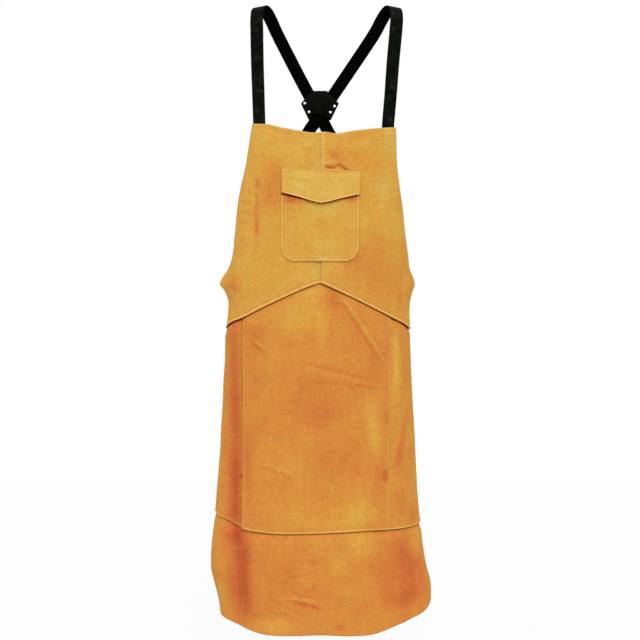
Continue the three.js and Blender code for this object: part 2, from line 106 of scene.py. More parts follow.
# Creases: from one place to another on the flat leather, width, and how far each stands out.
CREASES = (
    ("wrinkle over the flap, left", 0.004, -0.3605, 0.030, -0.3660, 0.0026, -0.0018),
    ("wrinkle over the flap, rise", 0.022, -0.3670, 0.041, -0.3560, 0.0022, -0.0012),
    ("wrinkle over the flap, right", 0.033, -0.3555, 0.065, -0.3735, 0.0024, -0.0018),
    ("wrinkle over the flap, ridge", 0.004, -0.3560, 0.034, -0.3540, 0.0040, 0.0014),
    ("wrinkle over the flap, lower ridge", 0.010, -0.3695, 0.050, -0.3725, 0.0024, 0.0008),
    ("bib left, first", -0.166, -0.410, -0.137, -0.418, 0.0030, -0.0011),
    ("bib left, second", -0.182, -0.431, -0.148, -0.438, 0.0030, -0.0010),
    ("bib left, third", -0.184, -0.452, -0.154, -0.459, 0.0032, -0.0008),
    ("bib left, fourth", -0.190, -0.474, -0.160, -0.481, 0.0034, -0.0009),
    ("bib left, upright, top", -0.137, -0.380, -0.139, -0.412, 0.0036, -0.0012),
    ("bib left, upright, middle", -0.139, -0.416, -0.142, -0.462, 0.0036, -0.0011),
    ("bib left, upright, low", -0.143, -0.450, -0.140, -0.506, 0.0038, -0.0013),
    ("bib left, upright, end", -0.142, -0.500, -0.141, -0.540, 0.0040, -0.0008),
    ("bib left, upright ridge", -0.149, -0.385, -0.151, -0.500, 0.0050, 0.0008),
    ("bib right, upper", 0.124, -0.424, 0.122, -0.462, 0.0040, -0.0006),
    ("bib right, lower", 0.150, -0.462, 0.150, -0.498, 0.0040, -0.0006),
    ("neck right, slant", 0.086, -0.320, 0.112, -0.290, 0.0040, 0.0007),
    ("neck right, second slant", 0.104, -0.324, 0.126, -0.298, 0.0040, -0.0006),
    ("bib lower left", -0.060, -0.572, -0.022, -0.590, 0.0034, -0.0006),
    ("bib scuff", -0.153, -0.644, -0.148, -0.632, 0.0016, 0.0012),
    ("skirt slant, valley", 0.029, -0.626, 0.136, -0.782, 0.0040, -0.0013),
    ("skirt slant, ridge", 0.036, -0.622, 0.147, -0.782, 0.0024, 0.0018),
    ("skirt short slant", -0.156, -0.728, -0.116, -0.754, 0.0030, -0.0014),
    ("skirt short slant, ridge", -0.152, -0.722, -0.112, -0.747, 0.0030, 0.0009),
    ("skirt across, upper", -0.060, -0.764, 0.150, -0.818, 0.0040, -0.0008),
    ("skirt across, lower", -0.030, -0.808, 0.150, -0.828, 0.0040, -0.0007),
    ("skirt across, ridge", -0.056, -0.776, 0.146, -0.824, 0.0040, 0.0006),
    ("skirt mark", -0.075, -0.863, -0.047, -0.884, 0.0024, -0.0009),
    ("skirt low slant", -0.140, -0.985, -0.050, -1.012, 0.0036, -0.0006),
    ("skirt low slant, ridge", -0.136, -0.978, -0.046, -1.005, 0.0036, 0.0004),
    ("hem ripple, ridge", -0.076, -1.2565, 0.004, -1.2670, 0.0026, 0.0013),
    ("hem ripple, red", -0.068, -1.2620, 0.006, -1.2805, 0.0036, -0.0018),
    ("hem ripple, lower ridge", -0.088, -1.2790, -0.030, -1.2950, 0.0028, 0.0010),
    ("hem ripple, low", -0.066, -1.2830, -0.034, -1.2940, 0.0024, -0.0012),
    ("hem ripple, left", -0.086, -1.2750, -0.046, -1.2850, 0.0024, -0.0012),
    ("hem ripple, upper left", -0.078, -1.2380, -0.036, -1.2560, 0.0034, -0.0010),
    ("hem ripple, upper right", -0.044, -1.2570, -0.008, -1.2290, 0.0034, -0.0008),
    ("hem, first faint ripple", -0.074, -1.2160, -0.006, -1.2040, 0.0030, -0.0006),
    ("hem, second faint ripple", -0.096, -1.2290, -0.030, -1.2210, 0.0030, -0.0006),
    ("hem, third faint ripple", -0.052, -1.2230, 0.014, -1.2150, 0.0030, 0.0005),
    ("hem, fourth faint ripple", -0.118, -1.2610, -0.070, -1.2710, 0.0030, -0.0007),
    ("hem, fifth faint ripple", -0.126, -1.2850, -0.078, -1.2970, 0.0030, -0.0007),
    ("hem, sixth faint ripple", -0.024, -1.2910, 0.028, -1.3010, 0.0030, -0.0007),
)
CREASE_FADE = 0.25

# The leather's own unevenness: the size of its swells, how high they are, and a seed for each size.
SLACK = ((0.075, 0.0011, 1), (0.030, 0.0004, 2))
LATTICE = 64

# The chevron falls from a rounded nose, bends past a point, rises towards each end and droops at it.
CHEVRON_TOP = -0.604
CHEVRON_BEND = 0.150
CHEVRON_LEFT = {
    "nose": 0.012, "slope": 0.44, "bend": 0.9,
    "rise": 0.0064, "middle": 0.222, "width": 0.035, "droop": 0.007,
}
CHEVRON_RIGHT = {
    "nose": 0.002, "slope": 0.465, "bend": 1.5,
    "rise": 0.0050, "middle": 0.205, "width": 0.048, "droop": 0.004,
}
CHEVRON_DROOPS = (0.234, 0.254)
NECKLINE = {
    "s": (-0.15, -0.115, -0.08, -0.05, -0.02, 0.008, 0.035, 0.06, 0.1, 0.14, 0.163),
    "z": (-0.267, -0.27, -0.279, -0.285, -0.29, -0.289, -0.292, -0.287, -0.281, -0.276, -0.274),
}
BIB_EDGE = {
    "z": (-0.706, -0.68, -0.65, -0.622, -0.601, -0.591, -0.573, -0.548, -0.497, -0.422, -0.347, -0.269),
    "left": (0.2450, 0.242, 0.238, 0.24, 0.254, 0.25, 0.232, 0.213, 0.2, 0.185, 0.164, 0.148),
    "right": (0.2415, 0.2412, 0.241, 0.244, 0.251, 0.246, 0.227, 0.216, 0.198, 0.181, 0.167, 0.162),
}
BOW_FADE = 3


def mix(start, end, share):
    """The value this share of the way from start to end."""
    return start + (end - start) * share


def soft_step(value, start, end):
    """0 before start, 1 after end, and a soft step between."""
    step = np.clip((value - start) / (end - start), 0, 1)
    return step * step * (3 - 2 * step)


def hump(value, middle, width):
    """A soft rise that is 1 at its middle."""
    return np.exp(-(((value - middle) / width) ** 2))


def table_curve(places, values):
    """A smooth curve through the rows of a table, level beyond its ends."""
    places = np.array(places, float)
    values = np.array(values, float)
    chords = np.diff(values) / np.diff(places)
    slopes = np.concatenate([chords[:1], (chords[1:] + chords[:-1]) / 2, chords[-1:]])

    def curve(place):
        place = np.clip(place, places[0], places[-1])
        row = np.clip(np.searchsorted(places, place, side="right") - 1, 0, len(chords) - 1)
        span = places[row + 1] - places[row]
        step = (place - places[row]) / span
        back = 1 - step
        ends = back * back * (1 + 2 * step) * values[row] + step * step * (3 - 2 * step) * values[row + 1]
        return ends + step * back * span * (back * slopes[row] - step * slopes[row + 1])

    return curve


def uneven(s, z, size, seed):
    """Soft random swells between -1 and 1."""
    heights = np.random.default_rng(seed).uniform(-1, 1, (LATTICE, LATTICE))
    column, across = np.divmod(np.asarray(s) / size, 1)
    row, along = np.divmod(np.asarray(z) / size, 1)
    column = column.astype(int)
    row = row.astype(int)
    across = across * across * (3 - 2 * across)
    along = along * along * (3 - 2 * along)

    def corner(right, up):
        return heights[(column + right) % LATTICE, (row + up) % LATTICE]

    low = mix(corner(0, 0), corner(1, 0), across)
    high = mix(corner(0, 1), corner(1, 1), across)
    return mix(low, high, along)


def crease_rise(s, z):
    """How far the creases alone stand out."""
    rise = np.zeros(np.shape(s))
    for _, s_start, z_start, s_end, z_end, width, height in CREASES:
        length = math.hypot(s_end - s_start, z_end - z_start)
        way_s = (s_end - s_start) / length
        way_z = (z_end - z_start) / length
        along = (s - s_start) * way_s + (z - z_start) * way_z
        across = (s - s_start) * way_z - (z - z_start) * way_s
        fade = CREASE_FADE * length
        ends = soft_step(along, 0, fade) * soft_step(length - along, 0, fade)
        rise += height * hump(across, 0, width) * ends
    return rise


def fold_rise(s, z):
    """How far the leather stands out here from the smooth round of the body."""
    rise = np.zeros(np.shape(s))
    for _, place, top, bottom, width, height in FOLDS:
        fade = FOLD_FADE * (top - bottom)
        ends = soft_step(top - z, 0, fade) * soft_step(z - bottom, 0, fade)
        rise += height * hump(s, place, width) * ends
    for _, place, middle, width, reach, height in WAIST_POINTS:
        away = np.hypot((z - middle) / reach, POINT_ROUND) - POINT_ROUND
        rise += height * hump(s, place, width) * np.maximum(0, 1 - away) ** POINT_CURVE
    for size, height, seed in SLACK:
        rise += height * uneven(s, z, size, seed)
    return rise + crease_rise(s, z)


def arc_angle(width, depth, length):
    """The angle that an arc of this length takes on an ellipse, from the end of its depth axis."""
    angle = np.zeros(np.shape(length))
    left = np.array(length, float)
    for middle in np.arange(ARC_STEP / 2, ARC_END, ARC_STEP):
        piece = ARC_STEP * np.hypot(width * math.cos(middle), depth * math.sin(middle))
        angle += ARC_STEP * np.clip(left / piece, 0, 1)
        left = np.maximum(0, left - piece)
    return angle


section_curves = {name: table_curve(SECTIONS["z"], SECTIONS[name]) for name in SECTIONS if name != "z"}


def worn(s, z):
    """Where a point of the flat leather lies on the body, at s along the girth and at height z."""
    lies = {name: curve(z) for name, curve in section_curves.items()}
    width = np.where(s < 0, lies["left_width"], lies["right_width"])
    depth = np.where(s < 0, lies["left_depth"], lies["right_depth"])
    side = np.sign(s)
    angle = arc_angle(width, depth, np.abs(s))
    back = lies["front"] + depth * (1 - np.cos(angle))
    place = np.stack([side * width * np.sin(angle), back, z], axis=-1)
    out = np.stack([side * np.sin(angle) / width, -np.cos(angle) / depth, np.zeros(np.shape(z))], axis=-1)
    out /= np.linalg.norm(out, axis=-1, keepdims=True)
    return place + out * fold_rise(s, z)[..., None]


def raised(s, z, lift):
    """That point raised off the body along the leather's normal, and the normal."""
    along = worn(s + PROBE, z) - worn(s - PROBE, z)
    up = worn(s, z + PROBE) - worn(s, z - PROBE)
    normal = np.cross(along, up)
    normal /= np.linalg.norm(normal, axis=-1, keepdims=True)
    return worn(s, z) + normal * np.asarray(lift)[..., None], normal


def chevron(s):
    """Height of the seam between the bib and the skirt."""
    nose, slope, bend, rise, middle, width, droop = (
        np.where(s < 0, CHEVRON_LEFT[name], CHEVRON_RIGHT[name]) for name in CHEVRON_LEFT)
    out = np.hypot(s, nose) - nose
    past = np.maximum(0, out - CHEVRON_BEND)
    end = rise * hump(np.abs(s), middle, width) - droop * soft_step(np.abs(s), *CHEVRON_DROOPS)
    return CHEVRON_TOP - slope * out + bend * past * past + end


neckline = table_curve(NECKLINE["s"], NECKLINE["z"])
bib_edges = {side: table_curve(BIB_EDGE["z"], BIB_EDGE[side]) for side in ("left", "right")}


class Shade:
    """A value in a material's nodes. Sums on it add Math nodes, and node() adds any other kind."""

    def __init__(self, tree, socket=None):
        self.tree = tree
        self.socket = socket

    def node(self, kind, settings=None, sockets=None, output=0):
        made = self.tree.nodes.new("ShaderNode" + kind)
        for name, value in (settings or {}).items():
            if name == "stops":
                self.ramp(made.color_ramp.elements, value)
            else:
                setattr(made, name, value)
        for name, value in (sockets or {}).items():
            self.feed(made.inputs[name], value)
        return Shade(self.tree, made.outputs[output])

    def feed(self, socket, value):
        if isinstance(value, Shade):
            self.tree.links.new(value.socket, socket)
        else:
            socket.default_value = value

    def ramp(self, elements, stops):
        while len(elements) < len(stops):
            elements.new(1)
        for element, (place, colour) in zip(elements, stops):
            element.position = place
            element.color = (*colour, 1)

    def maths(self, operation, first, second):
        return self.node("Math", {"operation": operation}, {0: first, 1: second})

    def __add__(self, other):
        return self.maths("ADD", self, other)

    def __sub__(self, other):
        return self.maths("SUBTRACT", self, other)

    def __rsub__(self, other):
        return self.maths("SUBTRACT", other, self)

    def __mul__(self, other):
        return self.maths("MULTIPLY", self, other)

    __radd__ = __add__
    __rmul__ = __mul__


def finish(name, constants):
    """A new material with its shader's constant sockets set, the shader, and a start for its nodes."""
    material = bpy.data.materials.new(name)
    material.use_nodes = True
    shader = material.node_tree.nodes["Principled BSDF"]
    for socket, value in constants.items():
        shader.inputs[socket].default_value = value
    return material, shader.inputs, Shade(material.node_tree)


def speckle(start, scale, detail):
    """Noise that keeps its place on the piece."""
    place = start.node("TexCoord", output=3)
    return start.node("TexNoise", sockets={"Vector": place, "Scale": scale, "Detail": detail})


def ramped(start, value, stops):
    """The colour that a ramp gives to a value."""
    return start.node("ValToRGB", {"stops": stops}, {"Fac": value})


def blend(start, share, first, second):
    """A colour this share of the way from the first to the second, a Mix node's sockets 6 and 7."""
    return start.node("Mix", {"data_type": "RGBA"}, {0: share, 6: first, 7: second}, output=2)


def relief(start, shader, height, strength, depth):
    """Roughens a surface by a height, with how much of it shows and its depth in metres."""
    bump = start.node("Bump", sockets={"Strength": strength, "Distance": depth, "Height": height})
    start.feed(shader["Normal"], bump)


# The dye of the leather, from its reddest to its palest, and the painted shadow, partly a stain, that lies
# over it.
DYE = (
    (-1.6, (0.400, 0.060, 0.020)),
    (-1.0, (0.530, 0.112, 0.031)),
    (-0.5, (0.605, 0.170, 0.042)),
    (0.0, (0.656, 0.242, 0.047)),
    (0.5, (0.686, 0.325, 0.055)),
    (0.75, (0.696, 0.378, 0.064)),
    (1.0, (0.668, 0.418, 0.086)),
    (1.8, (0.960, 0.540, 0.150)),
)
DYE_LOW = -2
DYE_SPAN = 4
RED_SHADE_AND_STAIN = (0.400, 0.062, 0.004)
DARK_SHADE_AND_STAIN = (0.050, 0.004, 0.0005)
SHADE_STAIN_STEPS = 2  # the painted shadow's first half is red, and its second one dark
SHADE_STAIN_MOTTLE = 1.2

# The suede's sheen, and its patterns: how many of each go to a metre, and how far some are drawn out.
SUEDE = {
    "Specular IOR Level": 0.03,
    "Sheen Weight": 0.05,
    "Sheen Roughness": 0.45,
    "Sheen Tint": (1, 0.5, 0.15, 1),
}
SUEDE_ROUGHNESS = {"even": 0.86, "mottle": 0.2}
SUEDE_RELIEF = {"strength": 0.7, "depth": 0.0005}
PATTERNS = {
    "blotch": 17, "streak": 55, "dent": 75, "mottle": 160, "rib": 220, "fibre": 460, "nap": 1300,
    "crinkle": 46, "crinkled": 24,
}
STREAK_DRAWN = 0.22
RIB_DRAWN = 0.15
CRINKLE_DRAWN = 0.45
CRINKLE_TURN = 0.25
CRINKLE_WIDTH = 0.05
CRINKLED = (0.0, 0.16)

# How much of each pattern goes into the dye's tone, into a painted shade of small dents and into the
# relief.
IN_TONE = {
    "blotch": 0.8, "streak": 0.4, "rib": 0.3, "mottle": 0.4, "fibre": 0.6, "nap": 0.5, "crinkle": -0.1}
IN_SHADE = {"dent": 0.22, "mottle": 0.12, "fibre": 0.08}
IN_RELIEF = {"nap": 0.8, "fibre": 1.0, "mottle": 1.6, "dent": 2.0, "crinkle": -1.2}


def split_leather(name, hide, inside=None):
    """Suede of split leather: blotched dye, streaks worn down its length, a short nap, and a painted shade
    of small dents.

    The inside has one even tone, and none of the painted shadows, painted highlights and stains of the
    face.
    """
    material, shader, start = finish(name, SUEDE)
    flat = start.node("UVMap", {"uv_map": "flat"})
    place = start.node("TexCoord", output=3)
    moved = start.node("Mapping", sockets={"Vector": flat, "Location": (hide, hide / 2, 0)})

    def drawn(across, along, turn=0):
        return start.node("Mapping", sockets={
            "Vector": moved, "Scale": (across, along, 1), "Rotation": (0, 0, turn)})

    def pattern(kind, vector, detail):
        """Noise that swings about 0."""
        return start.node("TexNoise", sockets={
            "Vector": vector, "Scale": PATTERNS[kind], "Detail": detail}) - 0.5

    def band(value, low, high):
        return start.node("MapRange", {"interpolation_type": "SMOOTHSTEP"}, {
            "Value": value, "From Min": low, "From Max": high})

    made = {
        "blotch": pattern("blotch", moved, 3),
        "streak": pattern("streak", drawn(1, STREAK_DRAWN), 3),
        "mottle": pattern("mottle", moved, 4),
        "dent": pattern("dent", moved, 3),
        "rib": pattern("rib", drawn(1, RIB_DRAWN), 3),
        "nap": pattern("nap", place, 3),
        "fibre": pattern("fibre", place, 4),
    }
    contour = start.maths("ABSOLUTE", pattern("crinkle", drawn(CRINKLE_DRAWN, 1, CRINKLE_TURN), 3), 0)
    crinkled = band(pattern("crinkled", moved, 2), *CRINKLED)
    made["crinkle"] = (1 - band(contour, 0, CRINKLE_WIDTH)) * crinkled

    def weighed(shares):
        return sum(made[kind] * share for kind, share in shares.items())

    tone = start.node("Attribute", {"attribute_name": "tone"}, output=2) if inside is None else inside
    strength = (tone + weighed(IN_TONE) - DYE_LOW) * (1 / DYE_SPAN)
    colour = ramped(start, strength, [((step - DYE_LOW) / DYE_SPAN, dye) for step, dye in DYE])
    # Painted shadow, partly a stain, darkens the face: first towards a red shade, then towards a dark one.
    if inside is None:
        soil = start.node("Attribute", {"attribute_name": "soil"}, output=2)
        soil *= SHADE_STAIN_STEPS + made["mottle"] * SHADE_STAIN_MOTTLE
        colour = blend(start, soil, colour, (*RED_SHADE_AND_STAIN, 1))
        colour = blend(start, soil - 1, colour, (*DARK_SHADE_AND_STAIN, 1))
    # A painted shade of small dents scales the colour.
    shaded = start.node("VectorMath", {"operation": "SCALE"}, {
        "Vector": colour, "Scale": 1 + weighed(IN_SHADE)})
    start.feed(shader["Base Color"], shaded)
    start.feed(shader["Roughness"], SUEDE_ROUGHNESS["even"] + made["mottle"] * SUEDE_ROUGHNESS["mottle"])
    relief(start, shader, weighed(IN_RELIEF), **SUEDE_RELIEF)
    return material


def cut_leather(name, dark, light):
    """The brown fibres of an edge where the leather is cut, darker than its face: partly from handling, and
    partly a painted shade of the edges that lie in shadow under the laps.
    """
    material, shader, start = finish(name, {"Specular IOR Level": 0.03, "Roughness": 0.95})
    fibre = speckle(start, scale=900, detail=3)
    start.feed(shader["Base Color"], ramped(start, fibre, [(0.3, dark), (0.7, light)]))
    relief(start, shader, fibre, strength=0.5, depth=0.0004)
    return material


golden_edge = cut_leather("raw_golden_edge", (0.30, 0.095, 0.016), (0.50, 0.20, 0.045))
golden_inside = split_leather("golden_leather_inside", 0.83, inside=0.50)
golden_leather = [split_leather("golden_split_leather", 0.37), golden_edge, golden_inside]

CROWDING = 0.6
EDGE_ROUND = 0.0004
EDGE_ANGLE = math.radians(50)


def crowd(share):
    """Even shares of a way, drawn towards both of its ends, where edges need the finest mesh."""
    return share - CROWDING * np.sin(2 * np.pi * share) / (2 * np.pi)


def grid(name, columns, rows):
    """A flat mesh of this many columns and rows, and the share of the way across and up at its points."""
    shape = bmesh.new()
    bmesh.ops.create_grid(shape, x_segments=columns, y_segments=rows, size=0.5)
    mesh = bpy.data.meshes.new(name)
    shape.to_mesh(mesh)
    shape.free()
    places = np.empty(len(mesh.vertices) * 3)
    mesh.vertices.foreach_get("co", places)
    across, up, _ = places.reshape(-1, 3).T
    return mesh, across + 0.5, up + 0.5


def shown(name, mesh, materials):
    """The object of a finished mesh, riding on the part's body."""
    mesh.polygons.foreach_set("use_smooth", np.ones(len(mesh.polygons), bool))
    mesh.update()
    piece = bpy.data.objects.new(name, mesh)
    bpy.context.scene.collection.objects.link(piece)
    for material in materials:
        mesh.materials.append(material)
    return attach(piece, "root")


def thicken(piece, thickness, rounding, inside=0):
    """Gives a sheet its thickness. Its rounded rim has the piece's second material, its inside this one."""
    wall = piece.modifiers.new("thickness", "SOLIDIFY")
    wall.thickness = thickness
    wall.offset = 0
    wall.material_offset = inside
    wall.material_offset_rim = 1
    rim = piece.modifiers.new("rim", "BEVEL")
    rim.width = rounding
    rim.segments = 2
    rim.limit_method = "ANGLE"
    rim.angle_limit = EDGE_ANGLE


def flat_map(mesh, s, z):
    """Keeps the flat leather's own measures on the mesh, for patterns that follow it."""
    corners = np.empty(len(mesh.loops), int)
    mesh.loops.foreach_get("vertex_index", corners)
    layer = mesh.uv_layers.new(name="flat")
    layer.data.foreach_set("uv", np.stack([s, z], axis=-1)[corners].ravel())


def leather_panel(name, net, cut, lift, tone, soil, leather):
    """A panel cut from flat leather and hung on the body, on a net of columns and rows."""
    mesh, across, up = grid(name, *net)
    s, z = cut(crowd(across), crowd(up))
    points, _ = raised(s, z, lift(s, z))
    mesh.vertices.foreach_set("co", points.ravel())
    flat_map(mesh, s, z)
    for attribute, worked_out in (("tone", tone), ("soil", soil)):
        mesh.attributes.new(attribute, "FLOAT", "POINT").data.foreach_set("value", worked_out(s, z))
    piece = shown(name, mesh, leather)
    thicken(piece, LEATHER, EDGE_ROUND, inside=2)
    return piece


MEASURED = 200


def cut_size(cut):
    """Width, length and area of a flat cut, measured on a fine net of its points."""
    share = np.linspace(0, 1, MEASURED)
    s, z = cut(*np.meshgrid(share, share))
    s_up, s_across = np.gradient(s)
    z_up, z_across = np.gradient(z)
    cells = s_across * z_up - s_up * z_across
    return float(np.ptp(s)), float(np.ptp(z)), float(np.abs(cells[:-1, :-1]).sum())


def hung(node, cut, hangs_from):
    """Measures the flat leather that a panel was cut from, and hides the panel's own part from model.glb.
    """
    width, length, area = cut_size(cut)
    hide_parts(node)


# How much lighter a crease's ridge and darker its valley are painted, per metre that it stands out: a
# painted highlight and shade.
CREASE_LIGHT_AND_SHADE = 260


def tone_with_painted_light(base, patches, creased=True):
    """The leather's tone over a panel: a base, patches that are golden or red, some of them painted shade
    in folds and painted highlight on ridges and rims, and creases painted lighter on their ridges and
    darker in their valleys.
    """
    def tone(s, z):
        value = float(base) + (CREASE_LIGHT_AND_SHADE if creased else 0) * crease_rise(s, z)
        for _, place_s, place_z, across, along, turn, change in patches:
            right = math.cos(math.radians(turn))
            up = math.sin(math.radians(turn))
            out = (s - place_s) * right + (z - place_z) * up
            over = (z - place_z) * right - (s - place_s) * up
            value += change * np.exp(-((out / across) ** 2) - (over / along) ** 4)
        return value

    return tone


# A turned edge: it swells out, and its stitches pull a groove. Places are distances from the edge.
TURNED = {"middle": 0.0027, "width": 0.0023, "groove": 0.0064, "groove_width": 0.0014, "groove_share": 0.5}
PUCKER = {"size": 0.009, "share": 0.35, "seed": 5}
# The pale band at an edge is partly rubbing and partly a painted highlight; its dark line is a painted
# shade in the stitch groove.
RUB_AND_HIGHLIGHT = {"middle": 0.0012, "width": 0.0018, "dark": 0.0050, "dark_share": 0.20}


def turned(distance, height, s, z):
    """The swell of a turned edge, puckered along its length, and the groove of its stitches."""
    swell = hump(distance, TURNED["middle"], TURNED["width"])
    groove = hump(distance, TURNED["groove"], TURNED["groove_width"])
    pucker = 1 + PUCKER["share"] * uneven(s, z, PUCKER["size"], PUCKER["seed"])
    return height * pucker * (swell - TURNED["groove_share"] * groove)


def rubbed_and_lit(distance):
    """How far an edge is painted pale, from the distance to it: partly rubbed, and partly a painted
    highlight on its turned edge, with a painted shade in its stitch groove.
    """
    pale = hump(distance, RUB_AND_HIGHLIGHT["middle"], RUB_AND_HIGHLIGHT["width"])
    return pale - RUB_AND_HIGHLIGHT["dark_share"] * hump(distance, RUB_AND_HIGHLIGHT["dark"], RUB_AND_HIGHLIGHT["width"])


SHADOW_FULL = 0.4


def painted_shadow(distance, reach):
    """Painted shadow beside an edge that lies on top: full near it, gone at this reach, and none far below
    it.
    """
    return soft_step(distance, -reach, 0) * (1 - soft_step(distance, reach * SHADOW_FULL, reach))


EDGE_STAIN_AND_SHADE = {"most": 0.0004, "reach": 0.0022, "share": 0.24}


def edge_stain_and_shade(distance):
    """A darker band along a cut edge: partly a stain from handling, and partly a painted shade of the edge
    in shadow.
    """
    return EDGE_STAIN_AND_SHADE["share"] * (1 - soft_step(distance, EDGE_STAIN_AND_SHADE["most"], EDGE_STAIN_AND_SHADE["reach"]))


def sinks(past, ease=EASE):
    """How far a panel sinks under a neighbour whose edge is this far away: 1 below it, 0 clear of it."""
    return 1 - soft_step(past, SUNK, SUNK + ease)


SLANT = 0.91  # the cosine of the chevron's slope


def above_chevron(s, z):
    """Distance from the chevron, up the bib."""
    return (z - chevron(s)) * SLANT


def inside_edge(side, s, z):
    """Distance from the bib's outer edge."""
    edge = bib_edges[side]
    slope = (edge(z + PROBE) - edge(z - PROBE)) / (2 * PROBE)
    return (edge(z) - np.abs(s)) / np.hypot(1, slope)


BIB_ROLL = 0.0014
BIB_HEM_ROLL = 0.0006
CENTER_ROLL = 0.0004
BIB_TONE = 0.62

# Patches of tone: place along the girth and up, width, height, turn in degrees, and change of tone.
# Most are dye. The left fold rows are painted shade in that fold, the wrinkle over the flap rows paint the
# wrinkle's shadow, and the left of the seam rows are painted light against the lap's shade.
BIB_PATCHES = (
    ("left of the flap", -0.106, -0.392, 0.024, 0.052, 0, -0.55),
    ("left fold", -0.140, -0.450, 0.0075, 0.070, 0, -0.22),
    ("left fold, top", -0.138, -0.395, 0.006, 0.010, 0, -0.30),
    ("left fold, deepest", -0.140, -0.487, 0.006, 0.016, 0, -0.40),
    ("left edge", -0.186, -0.470, 0.026, 0.060, 0, 0.05),
    ("top left", -0.030, -0.325, 0.050, 0.040, 0, 0.15),
    ("top left corner", -0.120, -0.330, 0.030, 0.050, 0, 0.25),
    ("left waist edge", -0.232, -0.640, 0.012, 0.030, 0, -0.15),
    ("over the flap", 0.060, -0.345, 0.055, 0.024, 0, -0.31),
    ("wrinkle over the flap, left", 0.0170, -0.3640, 0.0095, 0.0022, -12, -1.30),
    ("wrinkle over the flap, rise", 0.0300, -0.3620, 0.0080, 0.0018, 28, -0.70),
    ("wrinkle over the flap, peak", 0.0375, -0.3575, 0.0028, 0.0044, 0, -0.60),
    ("wrinkle over the flap, right", 0.0490, -0.3650, 0.0120, 0.0022, -30, -1.30),
    ("blotch over the flap", 0.026, -0.338, 0.010, 0.008, -30, -0.60),
    ("right edge", 0.140, -0.440, 0.022, 0.090, 0, 0.22),
    ("right edge, lower", 0.170, -0.520, 0.024, 0.040, 0, 0.28),
    ("top right corner", 0.146, -0.305, 0.018, 0.040, 0, 0.38),
    ("lower right", 0.125, -0.580, 0.075, 0.075, 0, -0.46),
    ("lower right, inner", 0.060, -0.560, 0.040, 0.050, 0, -0.20),
    ("left waist", -0.208, -0.600, 0.016, 0.020, 0, -0.55),
    ("lower middle", -0.020, -0.585, 0.060, 0.030, 0, 0.20),
    ("left of the seam", -0.007, -0.345, 0.009, 0.060, 0, 0.20),
    ("left of the seam, close", -0.003, -0.445, 0.005, 0.160, 0, 0.30),
    ("right of the pocket", 0.090, -0.495, 0.012, 0.040, 0, 0.28),
)
SEAM_RUB_AND_HIGHLIGHT = 1.25
CHEVRON_RUB_AND_HIGHLIGHT = 1.35
LAP_HIGHLIGHT = 0.4
LAP_HIGHLIGHT_BAND = {"reach": 0.011, "fade": 0.004, "up": (-0.40, -0.37)}
NECK_RUB_AND_HIGHLIGHT = 0.4


def bib_cut(side, place):
    """The cut of a bib half: its rows fan out from the centre line, from the chevron up to the neckline."""
    sign = -1 if side == "left" else 1
    low, high = BIB_EDGE["z"][0], BIB_EDGE["z"][-1]
    edge = bib_edges[side]

    def bow(curve, end_s, end_z, share):
        return curve(share * end_s) - mix(curve(0.0), end_z, share)

    def cut(across, up):
        end_z = mix(low, high, up)
        end_s = sign * edge(end_z)
        s = place(end_s, across)
        out = s / end_s
        straight = mix(mix(CHEVRON_TOP, neckline(0.0), up), end_z, out)
        low_bow = (1 - up) ** BOW_FADE * bow(chevron, sign * edge(low), low, out)
        high_bow = up**BOW_FADE * bow(neckline, sign * edge(high), high, out)
        return s, straight + low_bow + high_bow

    return cut


def bib_lift(side):
    def lift(s, z):
        under = sinks(-s) if side == "left" else np.zeros(np.shape(s))
        level = -LAYER * under
        level += (1 - under) * turned(above_chevron(s, z), BIB_ROLL, s, z)
        level += turned(inside_edge(side, s, z), BIB_HEM_ROLL, s, z)
        if side == "right":
            level += turned(s, CENTER_ROLL, s, z)
        return level

    return lift


bib_dye_and_light = tone_with_painted_light(BIB_TONE, BIB_PATCHES)


def bib_tone(side):
    def tone(s, z):
        # The chevron's and neckline's edges are painted pale, partly rubbed and partly a painted highlight;
        # on the right half a painted highlight runs beside the stitched lap.
        value = bib_dye_and_light(s, z) + CHEVRON_RUB_AND_HIGHLIGHT * rubbed_and_lit(above_chevron(s, z))
        value += NECK_RUB_AND_HIGHLIGHT * rubbed_and_lit(neckline(s) - z)
        if side == "right":
            beside = soft_step(LAP_HIGHLIGHT_BAND["reach"] - s, 0, LAP_HIGHLIGHT_BAND["fade"])
            value += LAP_HIGHLIGHT * beside * soft_step(z, *LAP_HIGHLIGHT_BAND["up"])
        return value

    return tone


SEAM_SHADOW = {"share": 0.12, "reach": 0.0016, "down": (0.50, 0.57)}
WAIST_EDGE_SHADE = {"out": (0.20, 0.22), "middle": -0.625, "width": 0.025}
CORNER_SHADE = {"share": 0.7, "out": (0.230, 0.242), "up": (0.0015, 0.006)}


def bib_shadow_and_stain(s, z):
    """Painted shadow low down beside the lap of the right half, outer edges that are partly stained and
    partly painted shade, more of it at the left waist, and painted shade in the lower corners.
    """
    lap = SEAM_SHADOW["share"] * soft_step(-z, *SEAM_SHADOW["down"]) * painted_shadow(-s, SEAM_SHADOW["reach"])
    edge = np.where(s < 0, inside_edge("left", s, z), inside_edge("right", s, z))
    waist = soft_step(-s, *WAIST_EDGE_SHADE["out"]) * hump(z, WAIST_EDGE_SHADE["middle"], WAIST_EDGE_SHADE["width"])
    low = 1 - soft_step(above_chevron(s, z), *CORNER_SHADE["up"])
    corner = CORNER_SHADE["share"] * soft_step(np.abs(s), *CORNER_SHADE["out"]) * low
    return lap + (1 + waist) * edge_stain_and_shade(edge) + corner


